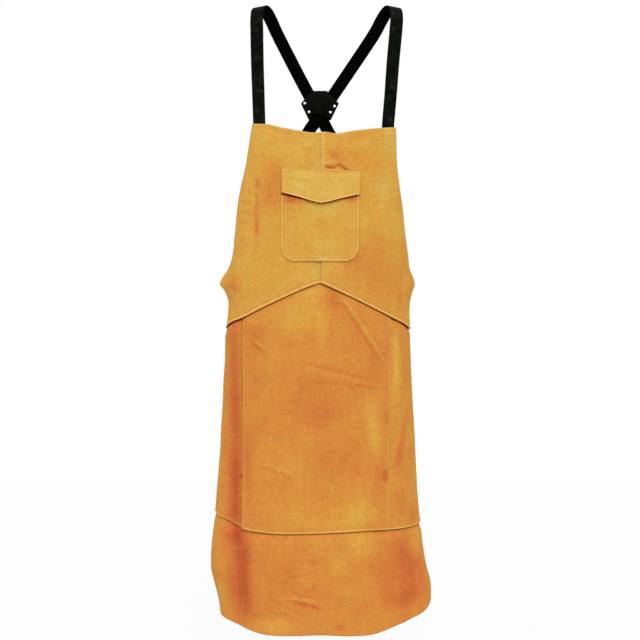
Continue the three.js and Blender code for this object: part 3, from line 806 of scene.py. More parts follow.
bib_cuts = {
    "left": bib_cut("left", lambda edge, across: mix(edge, LAP, across)),
    "right": bib_cut("right", lambda edge, across: edge * across),
}
BIB_NETS = {"left": (110, 216), "right": (146, 216)}
bib_halves = {}
for side, cut in bib_cuts.items():
    bib_halves[side] = leather_panel(
        f"bib_{side}_panel", BIB_NETS[side], cut, bib_lift(side), bib_tone(side), bib_shadow_and_stain, golden_leather)

# Sewing.
# Pale and golden thread, lock-stitched: each stitch shows on the face, and again where the seam comes out
# behind. The stitches of a piece are one mesh, with a short round of thread for each.
THREAD = 0.0010
STITCH = 0.0031
STITCH_SAG = 0.3
STITCH_ROUND = (6, 4)
PITCH = 0.0042
SETTLED = 0.00012


def thread_finish(name, dark, light):
    """Twisted thread, darker between its strands."""
    material, shader, start = finish(name, {"Specular IOR Level": 0.2, "Roughness": 0.75})
    twist = speckle(start, scale=1800, detail=2)
    start.feed(shader["Base Color"], ramped(start, twist, [(0.3, dark), (0.7, light)]))
    relief(start, shader, twist, strength=0.4, depth=0.0002)
    return material


pale_thread = thread_finish("pale_thread", (0.68, 0.48, 0.18), (0.88, 0.70, 0.36))
golden_thread = thread_finish("golden_thread", (0.58, 0.30, 0.07), (0.78, 0.50, 0.14))


def stitch_shape():
    """One stitch: a round of thread along X, highest at its middle and sunk at both ends."""
    shape = bmesh.new()
    around, along = STITCH_ROUND
    bmesh.ops.create_uvsphere(shape, u_segments=around, v_segments=along, radius=0.5)
    points = np.array([point.co for point in shape.verts])
    faces = [[point.index for point in face.verts] for face in shape.faces]
    shape.free()
    laid = np.stack([points[:, 2] * STITCH, points[:, 0] * THREAD, points[:, 1] * THREAD], axis=-1)
    laid[:, 2] -= STITCH_SAG * THREAD * (laid[:, 0] / STITCH * 2) ** 2
    return laid, faces


STITCH_POINTS, STITCH_FACES = stitch_shape()


def run(points):
    """Distances along a line of points."""
    return np.concatenate([[0], np.cumsum(np.linalg.norm(np.diff(points, axis=0), axis=1))])


def seam(s, z, level, facing, pitch=PITCH):
    """Stitches along a line on the leather, at this level, on its front or (facing -1) on its back."""
    points, normals = raised(s, z, level)
    length = run(points)
    count = max(1, round(length[-1] / pitch))
    middles = (np.arange(count) + 0.5) * length[-1] / count

    def along(values, places):
        return np.stack([np.interp(places, length, column) for column in values.T], axis=-1)

    centre = along(points, middles)
    ahead = along(points, middles + THREAD) - along(points, middles - THREAD)
    ahead /= np.linalg.norm(ahead, axis=-1, keepdims=True)
    out = facing * along(normals, middles)
    side = np.cross(out, ahead)
    side /= np.linalg.norm(side, axis=-1, keepdims=True)
    frames = np.stack([ahead, side, np.cross(ahead, side)], axis=1)
    return centre[:, None] + SETTLED * out[:, None] + STITCH_POINTS @ frames


def sewn(s, z, lift, depth, pitch=PITCH):
    """A seam's stitches on both faces: on the leather, and behind the layers that it goes through."""
    front = seam(s, z, lift(s, z) + LEATHER / 2, 1, pitch)
    back = seam(s, z, np.full(np.shape(s), -depth - LEATHER / 2), -1, pitch)
    return [front, back]


def stitching(name, seams, thread):
    """One mesh of all the stitches of some seams."""
    places = np.concatenate([places for seam_places in seams for places in seam_places])
    count = len(STITCH_POINTS)
    faces = [
        [index + count * stitch for index in face]
        for stitch in range(len(places)) for face in STITCH_FACES]
    mesh = bpy.data.meshes.new(name)
    mesh.from_pydata(places.reshape(-1, 3), [], faces)
    piece = shown(name, mesh, [thread])
    return piece


SEAM_POINTS = 400
CHEVRON_STITCH = 0.0066
HEM_STITCH = 0.0095
CENTER_STITCHES = (0.0026, 0.0086)

# How far the seams stop short of the panels' lower and upper ends.
SIDE_SEAM_ENDS = (0.010, 0.004)
CENTER_SEAM_ENDS = (0.004, 0.003)


def line(start, end):
    """Even places along a seam."""
    return np.linspace(start, end, SEAM_POINTS)


def side_seam(side):
    """The stitched line inside a bib half's outer edge."""
    sign = -1 if side == "left" else 1
    low, high = SIDE_SEAM_ENDS
    z = line(BIB_EDGE["z"][0] + low, BIB_EDGE["z"][-1] - high)
    edge = bib_edges[side]
    slope = (edge(z + PROBE) - edge(z - PROBE)) / (2 * PROBE)
    return sign * (edge(z) - HEM_STITCH * np.hypot(1, slope)), z


def chevron_seam(start, end):
    """The stitched line above the chevron."""
    s = line(start, end)
    return s, chevron(s) + CHEVRON_STITCH / SLANT


chevron_ends = {"left": (-0.238, -0.001), "right": (0.001, 0.236)}
for side, piece in bib_halves.items():
    seams = [
        sewn(*side_seam(side), bib_lift(side), 0),
        sewn(*chevron_seam(*chevron_ends[side]), bib_lift(side), LAYER),
    ]
    if side == "right":
        low, high = CENTER_SEAM_ENDS
        z = line(CHEVRON_TOP + low, neckline(0.0) - high)
        seams += [sewn(np.full(SEAM_POINTS, place), z, bib_lift(side), LAYER) for place in CENTER_STITCHES]
    stitches = stitching(f"bib_{side}_stitching", seams, golden_thread)
    hung("bib_" + side, bib_cuts[side], ["strap_" + side])

# Pocket.
# A patch of the same leather, round at its lower corners and sewn on with two lines of stitches.
# It swells out towards its open mouth, under the flap.
POCKET = {"s": -0.002, "half": 0.080, "mouth": -0.392, "bottom": -0.559, "corner": 0.030, "bulge": 0.002}
POCKET_SQUARE = 2.5
POCKET_TONE = 0.66
# Patches of tone. The under the flap rows are painted shadow at its ends, and the under the point row is
# painted light against its shadow.
POCKET_PATCHES = (
    ("under the flap, left", -0.062, -0.430, 0.022, 0.010, -12, -0.90),
    ("under the flap, left, wide", -0.062, -0.442, 0.024, 0.022, 0, -0.28),
    ("under the point", 0.006, -0.452, 0.034, 0.016, 0, 0.42),
    ("under the flap, right", 0.066, -0.428, 0.012, 0.007, 12, -1.00),
    ("middle", 0.010, -0.500, 0.050, 0.040, 0, 0.12),
)
POCKET_STITCHES = (0.0027, 0.0090)
POCKET_SEAM_END = 0.004
POCKET_SEAM_STEPS = 24
POCKET_NET = (96, 96)


def pocket_swell(s, z):
    """How far the pocket stands out from the bib."""
    across = np.minimum(1, np.abs(s - POCKET["s"]) / POCKET["half"])
    up = np.clip((z - POCKET["bottom"]) / (POCKET["mouth"] - POCKET["bottom"]), 0, 1)
    return POCKET["bulge"] * (1 - across**POCKET_SQUARE) * np.sin(up * np.pi / 2)


def pocket_half(z):
    """Half the pocket's width at this height, less in its round corners."""
    short = np.clip(POCKET["bottom"] + POCKET["corner"] - z, 0, POCKET["corner"])
    return POCKET["half"] - POCKET["corner"] + np.sqrt(POCKET["corner"] ** 2 - short**2)


def pocket_cut(across, up):
    z = mix(POCKET["bottom"], POCKET["mouth"], up)
    return POCKET["s"] + pocket_half(z) * (2 * across - 1), z


def inside_pocket(s, z):
    """Distance from the pocket's sewn edge."""
    corner = POCKET["corner"]
    out = np.abs(s - POCKET["s"]) - POCKET["half"] + corner
    low = POCKET["bottom"] + corner - z
    round_corner = np.hypot(np.maximum(0, out), np.maximum(0, low))
    return corner - np.where((out > 0) | (low > 0), round_corner, np.maximum(out, low))


POCKET_ROLL = 0.0005


def pocket_lift(s, z):
    return LAYER + pocket_swell(s, z) + turned(inside_pocket(s, z), POCKET_ROLL, s, z)


pocket_dye_and_shadow = tone_with_painted_light(POCKET_TONE, POCKET_PATCHES, creased=False)


def pocket_tone(s, z):
    return pocket_dye_and_shadow(s, z) + SEAM_RUB_AND_HIGHLIGHT / 2 * rubbed_and_lit(inside_pocket(s, z))


def pocket_seam(inset):
    """A stitched line round the pocket, this far inside its edge."""
    corner = POCKET["corner"] - inset
    half = POCKET["half"] - inset
    low = POCKET["bottom"] + inset
    angle = np.linspace(0, np.pi / 2, POCKET_SEAM_STEPS)
    s = np.concatenate([[half], half - corner + corner * np.cos(angle), [0]])
    z = np.concatenate([[POCKET["mouth"] - POCKET_SEAM_END], low + corner - corner * np.sin(angle), [low]])
    s = np.concatenate([-s, s[::-1]])
    z = np.concatenate([z, z[::-1]])
    length = np.concatenate([[0], np.cumsum(np.hypot(np.diff(s), np.diff(z)))])
    places = line(0, length[-1])
    return POCKET["s"] + np.interp(places, length, s), np.interp(places, length, z)


# The flap hangs over the pocket with a point, from its sides down to its tip.
FLAP = {"s": 0, "half": 0.0825, "top": -0.3685, "tilt": -0.044, "tip": -0.439, "side": -0.417}
FLAP_SAG = {"height": 0.0012, "middle": 0.020, "width": 0.012}
FLAP_SHADE = {"point": 0.010, "middle": 0.0019, "left": 0.0050, "right": 0.0024}


def flap_low(s):
    """Height of the flap's lower edge."""
    out = s - FLAP["s"]
    sag = FLAP_SAG["height"] * hump(np.abs(out), FLAP_SAG["middle"], FLAP_SAG["width"])
    return mix(FLAP["tip"], FLAP["side"], np.abs(out) / FLAP["half"]) + FLAP["tilt"] * out / 2 - sag


def pocket_painted_shadow(s, z):
    """Painted shadow under the flap's lower edge, least at its point and most at its left end."""
    left = FLAP_SHADE["left"] * soft_step(-s, FLAP_SHADE["point"], FLAP["half"])
    right = FLAP_SHADE["right"] * soft_step(s, FLAP_SHADE["point"], FLAP["half"])
    return painted_shadow(flap_low(s) - z, FLAP_SHADE["middle"] + left + right)


pocket = leather_panel(
    "pocket_panel", POCKET_NET, pocket_cut, pocket_lift, pocket_tone, pocket_painted_shadow, golden_leather)
pocket_seams = [sewn(*pocket_seam(inset), pocket_lift, 0) for inset in POCKET_STITCHES]
TACK_PITCH = 0.0009
POCKET_TACK = {"start": -0.004, "end": 0.011, "z": -0.5535}


def bar_tack(start, end, height, lift):
    """A bar of close stitches laid across a line from start to end."""
    half = STITCH / 2
    bars = []
    for s in np.arange(start, end, TACK_PITCH):
        z = float(height(s)) + np.array([-half, half])
        bars.append([seam(np.full(2, s), z, lift(np.full(2, s), z) + LEATHER / 2, 1)])
    return bars


pocket_seams += bar_tack(POCKET_TACK["start"], POCKET_TACK["end"], lambda s: POCKET_TACK["z"], pocket_lift)
pocket_stitching = stitching("pocket_stitching", pocket_seams, pale_thread)
hung("pocket", pocket_cut, bib_halves.values())

# Pocket flap.
# A pointed flap of the palest leather, sewn to the bib along its top and standing off over the pocket's
# mouth. Bar tacks hold its upper corners, and a stitched square its point.
FLAP_SEWN = 0.0015
FLAP_CLEAR = 0.002
FLAP_LEAN = 0.004
FLAP_STAND = 0.004
FLAP_TONE = 0.95
FLAP_RUB_AND_HIGHLIGHT = 0.8
FLAP_PATCHES = (
    ("left end", -0.070, -0.395, 0.020, 0.030, 0, -0.15),
    ("point", 0.010, -0.425, 0.030, 0.012, 0, 0.15),
)
FLAP_NET = (100, 64)
FLAP_STITCHES = (0.0027, 0.0090)
FLAP_SEAM_ENDS = (0.004, 0.003)
FLAP_TOP_SEAM = 0.003
FLAP_TACKS = ((-0.0790, -0.0675), (0.0645, 0.0800))
TACK_DROP = 0.0034
FLAP_SQUARE = {"left": -0.009, "right": 0.014, "low": -0.427, "high": -0.404}


def flap_top(s):
    """Height of the flap's sewn upper edge."""
    return FLAP["top"] + FLAP["tilt"] * (s - FLAP["s"])


def flap_side(out, up):
    """A place across the flap, out from its middle (-1 to 1) and this share up. Its right side leans in."""
    return FLAP["s"] + FLAP["half"] * out - FLAP_LEAN * np.maximum(0, out) * (1 - up)


def flap_cut(across, up):
    s = flap_side(2 * across - 1, up)
    return s, mix(flap_low(s), flap_top(s), up)


def flap_lift(s, z):
    over = soft_step(flap_top(s) - z, FLAP_SEWN, flap_top(s) - POCKET["mouth"] - FLAP_CLEAR)
    hang = np.maximum(0, POCKET["mouth"] - z) / (POCKET["mouth"] - FLAP["tip"])
    swell = np.maximum(0, pocket_swell(s, np.minimum(z, POCKET["mouth"])))
    return LAYER + over * (LAYER + swell) + FLAP_STAND * hang


flap_dye = tone_with_painted_light(FLAP_TONE, FLAP_PATCHES, creased=False)


def flap_tone(s, z):
    return flap_dye(s, z) + FLAP_RUB_AND_HIGHLIGHT * rubbed_and_lit(z - flap_low(s))


FLAP_EDGE_SHADE = {"top": 0.25, "bottom": 0.6, "down": (0.004, 0.040), "inwards": (0.0006, 0.0022)}


def flap_painted_shade(s, z):
    """Painted shade along the flap's left edge, more of it low down."""
    share = mix(FLAP_EDGE_SHADE["top"], FLAP_EDGE_SHADE["bottom"], soft_step(flap_top(s) - z, *FLAP_EDGE_SHADE["down"]))
    return share * (1 - soft_step(s - FLAP["s"] + FLAP["half"], *FLAP_EDGE_SHADE["inwards"]))


flap = leather_panel(
    "pocket_flap_panel", FLAP_NET, flap_cut, flap_lift, flap_tone, flap_painted_shade, golden_leather)
flap_seams = []
for inset in FLAP_STITCHES:
    for sign in (-1, 1):
        up = line(0, 1)
        s = flap_side(sign, up) - sign * inset
        low, high = FLAP_SEAM_ENDS
        z = mix(flap_low(s) + low, flap_top(s) - high, up)
        flap_seams.append([seam(s, z, flap_lift(s, z) + LEATHER / 2, 1)])
for start, end in FLAP_TACKS:
    flap_seams += bar_tack(start, end, lambda s: flap_top(s) - TACK_DROP, flap_lift)
s = line(FLAP_SQUARE["left"], FLAP_SQUARE["right"])
z = line(FLAP_SQUARE["low"], FLAP_SQUARE["low"])
flap_seams.append([seam(s, z, flap_lift(s, z) + LEATHER / 2, 1)])
flap_stitching = stitching("flap_stitching", flap_seams, pale_thread)
corners = (("right", "low"), ("right", "high"), ("left", "high"), ("left", "low"))
s = line(-FLAP["half"] + FLAP_TOP_SEAM, FLAP["half"] - FLAP_TOP_SEAM)
golden_seams = [sewn(s, flap_top(s) - FLAP_TOP_SEAM, flap_lift, 0)]
for (s_start, z_start), (s_end, z_end) in zip(corners, corners[1:]):
    s = line(FLAP_SQUARE[s_start], FLAP_SQUARE[s_end])
    z = line(FLAP_SQUARE[z_start], FLAP_SQUARE[z_end])
    golden_seams.append([seam(s, z, flap_lift(s, z) + LEATHER / 2, 1)])
flap_top_stitching = stitching("flap_top_stitching", golden_seams, golden_thread)
hung(
    "pocket_flap", flap_cut, bib_halves.values())

# Middle of the skirt.
# The long front panel, a redder hide than the bib. It tucks up under the chevron, and its turned side edges
# and lower edge lap over the panels beside and below it.
CENTER_EDGE_TOP = -0.690
CENTER_EDGE = {"left": (0.177, 0), "right": (0.157, 0.03)}  # place at the top, and taper
REAR_EDGE = {"z": -0.706, "s": 0.254, "flare": 0.085}
HEM_SEAM_Z = -1.124
END_EASE = {"length": 0.004, "out": (0.20, 0.24)}
HEM_SEAM = {
    "s": (-0.31, -0.23, -0.177, -0.12, 0, 0.105, 0.163, 0.23, 0.31),
    "z": (-1.096, -1.105, -1.1205, -1.125, -1.122, -1.1185, -1.121, -1.121, -1.117),
}
DIP_REACH = 0.012
DIP_EASE = 0.034
SKIRT_ROLL = 0.0009
SKIRT_STITCHES = (0.0066, 0.0105)
UPRIGHT_SEAM_ENDS = (0.004, 0.002)
HEM_SEAM_STITCHED = (-0.170, 0.138)
CENTER_NET = (184, 248)
SKIRT_TONE = 0.12
SKIRT_PATCHES = (
    ("gold at the top", -0.045, -0.665, 0.055, 0.040, 25, 0.38),
    ("gold streak", 0.002, -0.700, 0.012, 0.045, 0, 0.35),
    ("gold under the point", -0.022, -0.632, 0.028, 0.022, 24, 0.32),
    ("red under the point", 0.026, -0.636, 0.012, 0.020, 0, -0.52),
    ("red at the slant", 0.060, -0.690, 0.014, 0.050, 32, -0.22),
    ("red top left", -0.140, -0.725, 0.026, 0.035, 0, -0.32),
    ("red middle", -0.010, -0.860, 0.050, 0.060, 0, -0.35),
    ("red right of the slant", 0.105, -0.790, 0.040, 0.055, 0, -0.20),
    ("gold by the right seam", 0.112, -0.905, 0.016, 0.070, 8, 0.50),
    ("red by the right seam", 0.125, -1.000, 0.020, 0.050, 0, -0.30),
    ("red lower middle", 0.030, -0.970, 0.050, 0.040, 0, -0.25),
    ("gold low left", -0.090, -0.990, 0.060, 0.060, 0, 0.06),
    ("red by the left seam", -0.158, -0.990, 0.014, 0.080, 0, -0.32),
    ("gold by the hem seam", 0.030, -1.108, 0.050, 0.020, 0, 0.22),
    ("red left", -0.120, -0.870, 0.035, 0.080, 0, -0.16),
    ("gold low right", 0.075, -1.080, 0.040, 0.035, 30, 0.42),
    ("gold low middle", -0.040, -1.080, 0.050, 0.030, 0, 0.22),
    ("spot on the right seam", 0.140, -1.008, 0.007, 0.012, 0, -0.75),
    ("upper spot on the right seam", 0.146, -0.886, 0.006, 0.014, 0, -0.50),
)

orange_edge = cut_leather("raw_orange_edge", (0.48, 0.115, 0.026), (0.62, 0.20, 0.050))
orange_inside = split_leather("orange_leather_inside", 2.6, inside=0.15)
orange_leather = [split_leather("orange_split_leather", 1.9), orange_edge, orange_inside]
hem_seam = table_curve(HEM_SEAM["s"], HEM_SEAM["z"])


def center_edge(s, z):
    """Where the middle panel ends on this side, measured out from the centre line."""
    edges = [place - (CENTER_EDGE_TOP - z) * taper for place, taper in CENTER_EDGE.values()]
    return np.where(np.asarray(s) < 0, *edges)


def rear_edge(z):
    """Where the skirt's sides end, measured out from the centre line."""
    return REAR_EDGE["s"] + (REAR_EDGE["z"] - z) * REAR_EDGE["flare"]


def under_bib(s, z):
    """How far the skirt sinks under the bib. It rises sooner at the ends of the chevron."""
    ease = mix(EASE, END_EASE["length"], soft_step(np.abs(s), *END_EASE["out"]))
    return sinks(chevron(s) - z, ease)


def dip(s, start, end):
    """The wide dip, 0 to 1, of a panel that passes below a seam which is itself two layers thick."""
    into = soft_step(s, start - DIP_REACH - DIP_EASE, start - DIP_REACH)
    out_of = soft_step(s, end + DIP_REACH, end + DIP_REACH + DIP_EASE)
    return into * (1 - out_of)


def skirt_cut(place):
    """The cut of a skirt panel, from the hem seam up to its margin under the bib."""
    def cut(across, up):
        low = hem_seam(place(across, HEM_SEAM_Z))
        high = chevron(place(across, REAR_EDGE["z"])) + LAP
        z = mix(low, high, up)
        return place(across, z), z

    return cut


def above_hem_seam(s, z):
    """Distance from the hem seam, up the skirt."""
    return z - hem_seam(s)


def center_lift(s, z):
    under = under_bib(s, z)
    rolls = turned(above_hem_seam(s, z), SKIRT_ROLL, s, z)
    rolls += turned(center_edge(s, z) - np.abs(s), SKIRT_ROLL, s, z)
    return -LAYER * under * (1 + dip(s, 0, LAP)) + (1 - under) * rolls


skirt_dye_and_light = tone_with_painted_light(SKIRT_TONE, SKIRT_PATCHES)
EDGE_RUB_AND_HIGHLIGHT = {"left": 0.62, "right": 0.60}
EDGE_GROOVE = {"share": 0.3, "width": 0.002}


def center_tone(s, z):
    """The dye, with its lower edge and, less so, its sides painted pale, partly rubbed and partly a painted
    highlight, and a painted shade in the sides' stitched groove.
    """
    edge = center_edge(s, z) - np.abs(s)
    share = np.where(s < 0, EDGE_RUB_AND_HIGHLIGHT["left"], EDGE_RUB_AND_HIGHLIGHT["right"])
    groove = EDGE_GROOVE["share"] * hump(edge, SKIRT_STITCHES[1], EDGE_GROOVE["width"])
    pale_edges = rubbed_and_lit(above_hem_seam(s, z)) + share * rubbed_and_lit(edge)
    return skirt_dye_and_light(s, z) + SEAM_RUB_AND_HIGHLIGHT * pale_edges - share * groove


CHEVRON_SHADOW = {
    "left": 0.55, "right": 0.70, "end": 0.85, "out": (0.15, 0.22), "reach": 0.0034, "end_reach": 0.0026}
CHEVRON_POINT = {"s": -0.012, "width": 0.026, "less": 0.45}


def skirt_painted_shadow(s, z):
    """Painted shadow below the chevron, least beside its point and most at its ends."""
    end = soft_step(np.abs(s), *CHEVRON_SHADOW["out"])
    share = mix(np.where(s < 0, CHEVRON_SHADOW["left"], CHEVRON_SHADOW["right"]), CHEVRON_SHADOW["end"], end)
    point = 1 - CHEVRON_POINT["less"] * hump(s, CHEVRON_POINT["s"], CHEVRON_POINT["width"])
    reach = CHEVRON_SHADOW["reach"] + CHEVRON_SHADOW["end_reach"] * end
    return point * share * painted_shadow((chevron(s) - z) * SLANT, reach)


center_cut = skirt_cut(lambda across, z: mix(-center_edge(-1, z), center_edge(1, z), across))
skirt_center = leather_panel(
    "skirt_center_panel", CENTER_NET, center_cut, center_lift, center_tone, skirt_painted_shadow, orange_leather)


def upright_seam(sign, inset):
    """A stitched line inside the middle panel's edge on one side."""
    low, high = UPRIGHT_SEAM_ENDS
    top = float(chevron(sign * np.float64(CENTER_EDGE["right"][0])))
    z = line(HEM_SEAM_Z + low, top - high)
    return sign * (center_edge(sign, z) - inset), z


def hem_seam_line(start, end):
    """The stitched line above the hem seam."""
    s = line(start, end)
    return s, hem_seam(s) + TURNED["groove"]


skirt_seams = [
    sewn(*upright_seam(sign, inset), center_lift, LAYER) for sign in (-1, 1) for inset in SKIRT_STITCHES]
skirt_seams.append(sewn(*hem_seam_line(*HEM_SEAM_STITCHED), center_lift, LAYER))
skirt_stitching = stitching("skirt_stitching", skirt_seams, golden_thread)
hung("skirt_center", center_cut, bib_halves.values())

# Sides of the skirt.
# Two narrow panels lapped under the middle one and under the bib, with raw rear edges.
# The left one falls in a deep fold beside its seam, painted red as the fold's shade.
SIDE_NET = (60, 190)
SIDE_TONE = {"left": 0.0, "right": 0.22}
# Patches of tone. The fold and beside the ridge rows are painted shade; the ridge and rear edge rows are
# painted highlight.
SIDE_PATCHES = {
    "left": (
        ("fold", -0.203, -0.930, 0.019, 0.210, 0, -0.75),
        ("fold, deepest", -0.196, -1.060, 0.018, 0.080, 0, -0.48),
        ("fold, upper", -0.208, -0.820, 0.012, 0.080, 0, -0.10),
        ("rear edge", -0.262, -0.930, 0.022, 0.220, 0, 0.45),
        ("under the bib", -0.215, -0.715, 0.030, 0.020, 30, -0.16),
        ("dark spot", -0.1830, -1.012, 0.0024, 0.0050, 0, -1.50),
    ),
    "right": (
        ("ridge", 0.171, -0.770, 0.0085, 0.066, 0, 0.48),
        ("ridge, lower", 0.164, -0.845, 0.007, 0.030, 0, 0.25),
        ("beside the ridge", 0.200, -0.780, 0.014, 0.060, 0, -0.15),
        ("red slant", 0.191, -0.930, 0.009, 0.062, -17, -0.45),
        ("low red", 0.178, -0.985, 0.016, 0.030, -10, -0.25),
        ("low red, by the hem", 0.184, -1.060, 0.024, 0.040, 0, -0.26),
        ("rear edge", 0.250, -0.930, 0.024, 0.200, 0, 0.28),
        ("corner", 0.215, -1.095, 0.018, 0.020, 40, -0.35),
    ),
}


def under_center(s, z):
    """How far a side panel sinks under the middle one."""
    return sinks(np.abs(s) - center_edge(s, z))


def side_lift(s, z):
    covered = under_bib(s, z) + under_center(s, z)
    roll = turned(above_hem_seam(s, z), SKIRT_ROLL, s, z)
    return -LAYER * covered + np.clip(1 - covered, 0, 1) * roll


def side_tone(side):
    side_dye_and_light = tone_with_painted_light(SIDE_TONE[side], SIDE_PATCHES[side])

    def tone(s, z):
        return side_dye_and_light(s, z) + SEAM_RUB_AND_HIGHLIGHT * rubbed_and_lit(above_hem_seam(s, z))

    return tone


SIDE_LAP_SHADOW = {
    "left": {"share": 0.24, "reach": 0.0040, "hidden": 0.0030},
    "right": {"share": 0.30, "reach": 0.0026, "hidden": 0},
}


def side_shadow_and_stain(side):
    """Painted shadow below the chevron and beside the middle panel's lap, and a rear edge that is partly
    stained and partly painted shade.
    """
    share, reach, hidden = SIDE_LAP_SHADOW[side].values()

    def soil(s, z):
        lap = share * painted_shadow(np.abs(s) - center_edge(s, z) - hidden, reach)
        return np.maximum(skirt_painted_shadow(s, z), lap) + edge_stain_and_shade(rear_edge(z) - np.abs(s))

    return soil


side_cuts = {
    "left": skirt_cut(lambda across, z: mix(-rear_edge(z), LAP - center_edge(-1, z), across)),
    "right": skirt_cut(lambda across, z: mix(center_edge(1, z) - LAP, rear_edge(z), across)),
}
side_ends = {"left": (-0.280, -0.182), "right": (0.150, 0.280)}
side_pieces = {}
for side, cut in side_cuts.items():
    side_pieces[side] = leather_panel(
        f"skirt_side_{side}_panel", SIDE_NET, cut, side_lift, side_tone(side), side_shadow_and_stain(side),
        orange_leather)
    seams = [sewn(*hem_seam_line(*side_ends[side]), side_lift, LAYER)]
    stitches = stitching(f"skirt_side_{side}_stitching", seams, golden_thread)
    hangs_from = [bib_halves[side], skirt_center]
    hung("skirt_side_" + side, cut, hangs_from)

# Hem panel.
# The lowest panel, right across the apron and tucked up under the skirt, with round lower corners.
# Its lower edge is cut raw, and it keeps ripples from being folded.
HEM_Z = -1.332
HEM_CORNER = {"across": 0.046, "rise": 0.060}
HEM_EDGE = {
    "s": (-0.31, -0.277, -0.196, -0.125, -0.06, 0, 0.06, 0.112, 0.164, 0.226, 0.31),
    "z": (-1.31, -1.316, -1.326, -1.337, -1.335, -1.332, -1.335, -1.333, -1.319, -1.305, -1.264),
}
HEM_CROWD = 0.5
HEM_NARROWS = (0.4, 0.93)
HEM_INSET = 0.001
HEM_NET = (320, 124)
HEM_TONE = 0.08
# Patches of tone. The left fold and right red rows are painted shade in the folds; the left edge, left
# corner and right rear edge rows are painted highlight on the rims.
HEM_PATCHES = (
    ("left fold", -0.182, -1.210, 0.034, 0.100, 0, -0.86),
    ("left fold, deepest", -0.166, -1.225, 0.016, 0.085, 0, -0.50),
    ("left fold, top", -0.195, -1.122, 0.024, 0.032, 0, -0.80),
    ("left edge", -0.265, -1.160, 0.024, 0.050, 0, 0.30),
    ("left corner", -0.240, -1.275, 0.024, 0.035, 0, 0.55),
    ("ripples", -0.030, -1.271, 0.032, 0.010, -14, -0.35),
    ("over the ripples", -0.036, -1.240, 0.040, 0.016, 0, -0.20),
    ("under the ripples", -0.140, -1.310, 0.030, 0.018, 0, -0.20),
    ("bottom left gold", -0.105, -1.318, 0.050, 0.016, 0, 0.40),
    ("gold under the seam", 0.080, -1.146, 0.026, 0.030, 0, 0.46),
    ("gold under the seam, middle", 0.002, -1.150, 0.040, 0.024, 0, 0.28),
    ("gold middle", 0.036, -1.190, 0.020, 0.020, 0, 0.35),
    ("gold to the right", 0.090, -1.235, 0.030, 0.030, 0, 0.20),
    ("right red", 0.184, -1.220, 0.066, 0.072, 0, -0.60),
    ("right red, deepest", 0.222, -1.225, 0.020, 0.040, 0, -0.30),
    ("right red, low", 0.182, -1.268, 0.018, 0.016, 20, -0.25),
    ("right red, upper", 0.176, -1.150, 0.020, 0.030, 0, -0.22),
    ("right rear edge", 0.285, -1.220, 0.022, 0.070, 0, 0.70),
    ("right rear edge, upper", 0.230, -1.155, 0.018, 0.026, 0, 0.30),
    ("red middle", -0.070, -1.190, 0.060, 0.040, 0, -0.15),
    ("bottom spot", 0.040, -1.316, 0.010, 0.008, 0, -0.45),
)
hem_edge = table_curve(HEM_EDGE["s"], HEM_EDGE["z"])


def hem_bottom(s):
    """The lower edge, rounded up into the rear edges."""
    past = np.maximum(0, np.abs(s) - rear_edge(HEM_Z) + HEM_CORNER["across"]) / HEM_CORNER["across"]
    return hem_edge(s) + HEM_CORNER["rise"] * (1 - np.sqrt(np.maximum(0, 1 - past * past)))


def hem_cut(across, up):
    """The cut of the hem panel, drawn in at its top to the rear edges of the panels that it is sewn to."""
    out = 2 * across - 1
    top = rear_edge(HEM_SEAM_Z + LAP) - HEM_INSET
    edge = mix(rear_edge(HEM_Z), top, soft_step(up, *HEM_NARROWS))
    s = edge * mix(out, np.sin(out * np.pi / 2), HEM_CROWD)
    return s, mix(hem_bottom(s), hem_seam(s) + LAP, up)


def hem_lift(s, z):
    edge = center_edge(s, HEM_SEAM_Z)
    return -LAYER * sinks(hem_seam(s) - z) * (1 + dip(np.abs(s), edge - LAP, edge))


hem_dye_and_light = tone_with_painted_light(HEM_TONE, HEM_PATCHES)
HEM_SEAM_SHADOW = {"share": 0.65, "reach": 0.0036}


def hem_shadow_and_stain(s, z):
    """Painted shadow below the seam, and a lower edge that is partly stained and partly painted shade."""
    return HEM_SEAM_SHADOW["share"] * painted_shadow(hem_seam(s) - z, HEM_SEAM_SHADOW["reach"]) + edge_stain_and_shade(z - hem_bottom(s))


hem_panel = leather_panel(
    "hem_panel_leather", HEM_NET, hem_cut, hem_lift, hem_dye_and_light, hem_shadow_and_stain, orange_leather)
hung("hem_panel", hem_cut, [skirt_center, *side_pieces.values()])

# Straps.
# Two black leather straps, sewn behind the bib's top corners. They go over the shoulders, cross at the back
# and end inside the opposite sides of the waist.
STRAP = {"width": 0.028, "thickness": 0.0022}
STRAP_GAP = 0.0004
HOLLOW = {"bib": 0.0011, "waist": 0.002}
SHOULDER = {"y": 0.008, "radius": 0.055, "slope": 0.2}
FRONT_RUN = {
    "z": (-0.200, -0.130, -0.062),
    "y": (-0.061, -0.054, -0.0475),
    "turn": (0.31, 0.22, 0.13),
    "left": (-0.133, -0.1355, -0.137),
    "right": (0.148, 0.1535, 0.160),
}
ARCH = {
    "angle": (160, 130, 100, 70, 40, 18),
    "left": (-0.1375, -0.136, -0.130, -0.120, -0.109, -0.100),
    "right": (0.162, 0.161, 0.155, 0.145, 0.1325, 0.122),
}
STRAP_ENDS = {
    "left": {"s": -0.134, "top": -0.268, "bottom": -0.318},
    "right": {"s": 0.145, "top": -0.276, "bottom": -0.326},
}
WAIST_END = ((0.238, -0.640), (0.224, -0.668))
BACK = {"y": -0.012, "width": 0.194, "depth": 0.126, "spans": 4}
PATCH = {"x": -0.0025, "y": 0.108, "z": -0.191, "lean": 0.155, "thickness": 0.002}
CROSSING = {"x": -0.0005, "y": -0.023, "left": 0.54, "right": 0.69}
CROSSING_STATIONS = (0.060, 0.036, 0, -0.036, -0.060)
STRAP_STEP = (STRAP["thickness"] + STRAP_GAP) / 2
STRAP_COLUMNS = 12
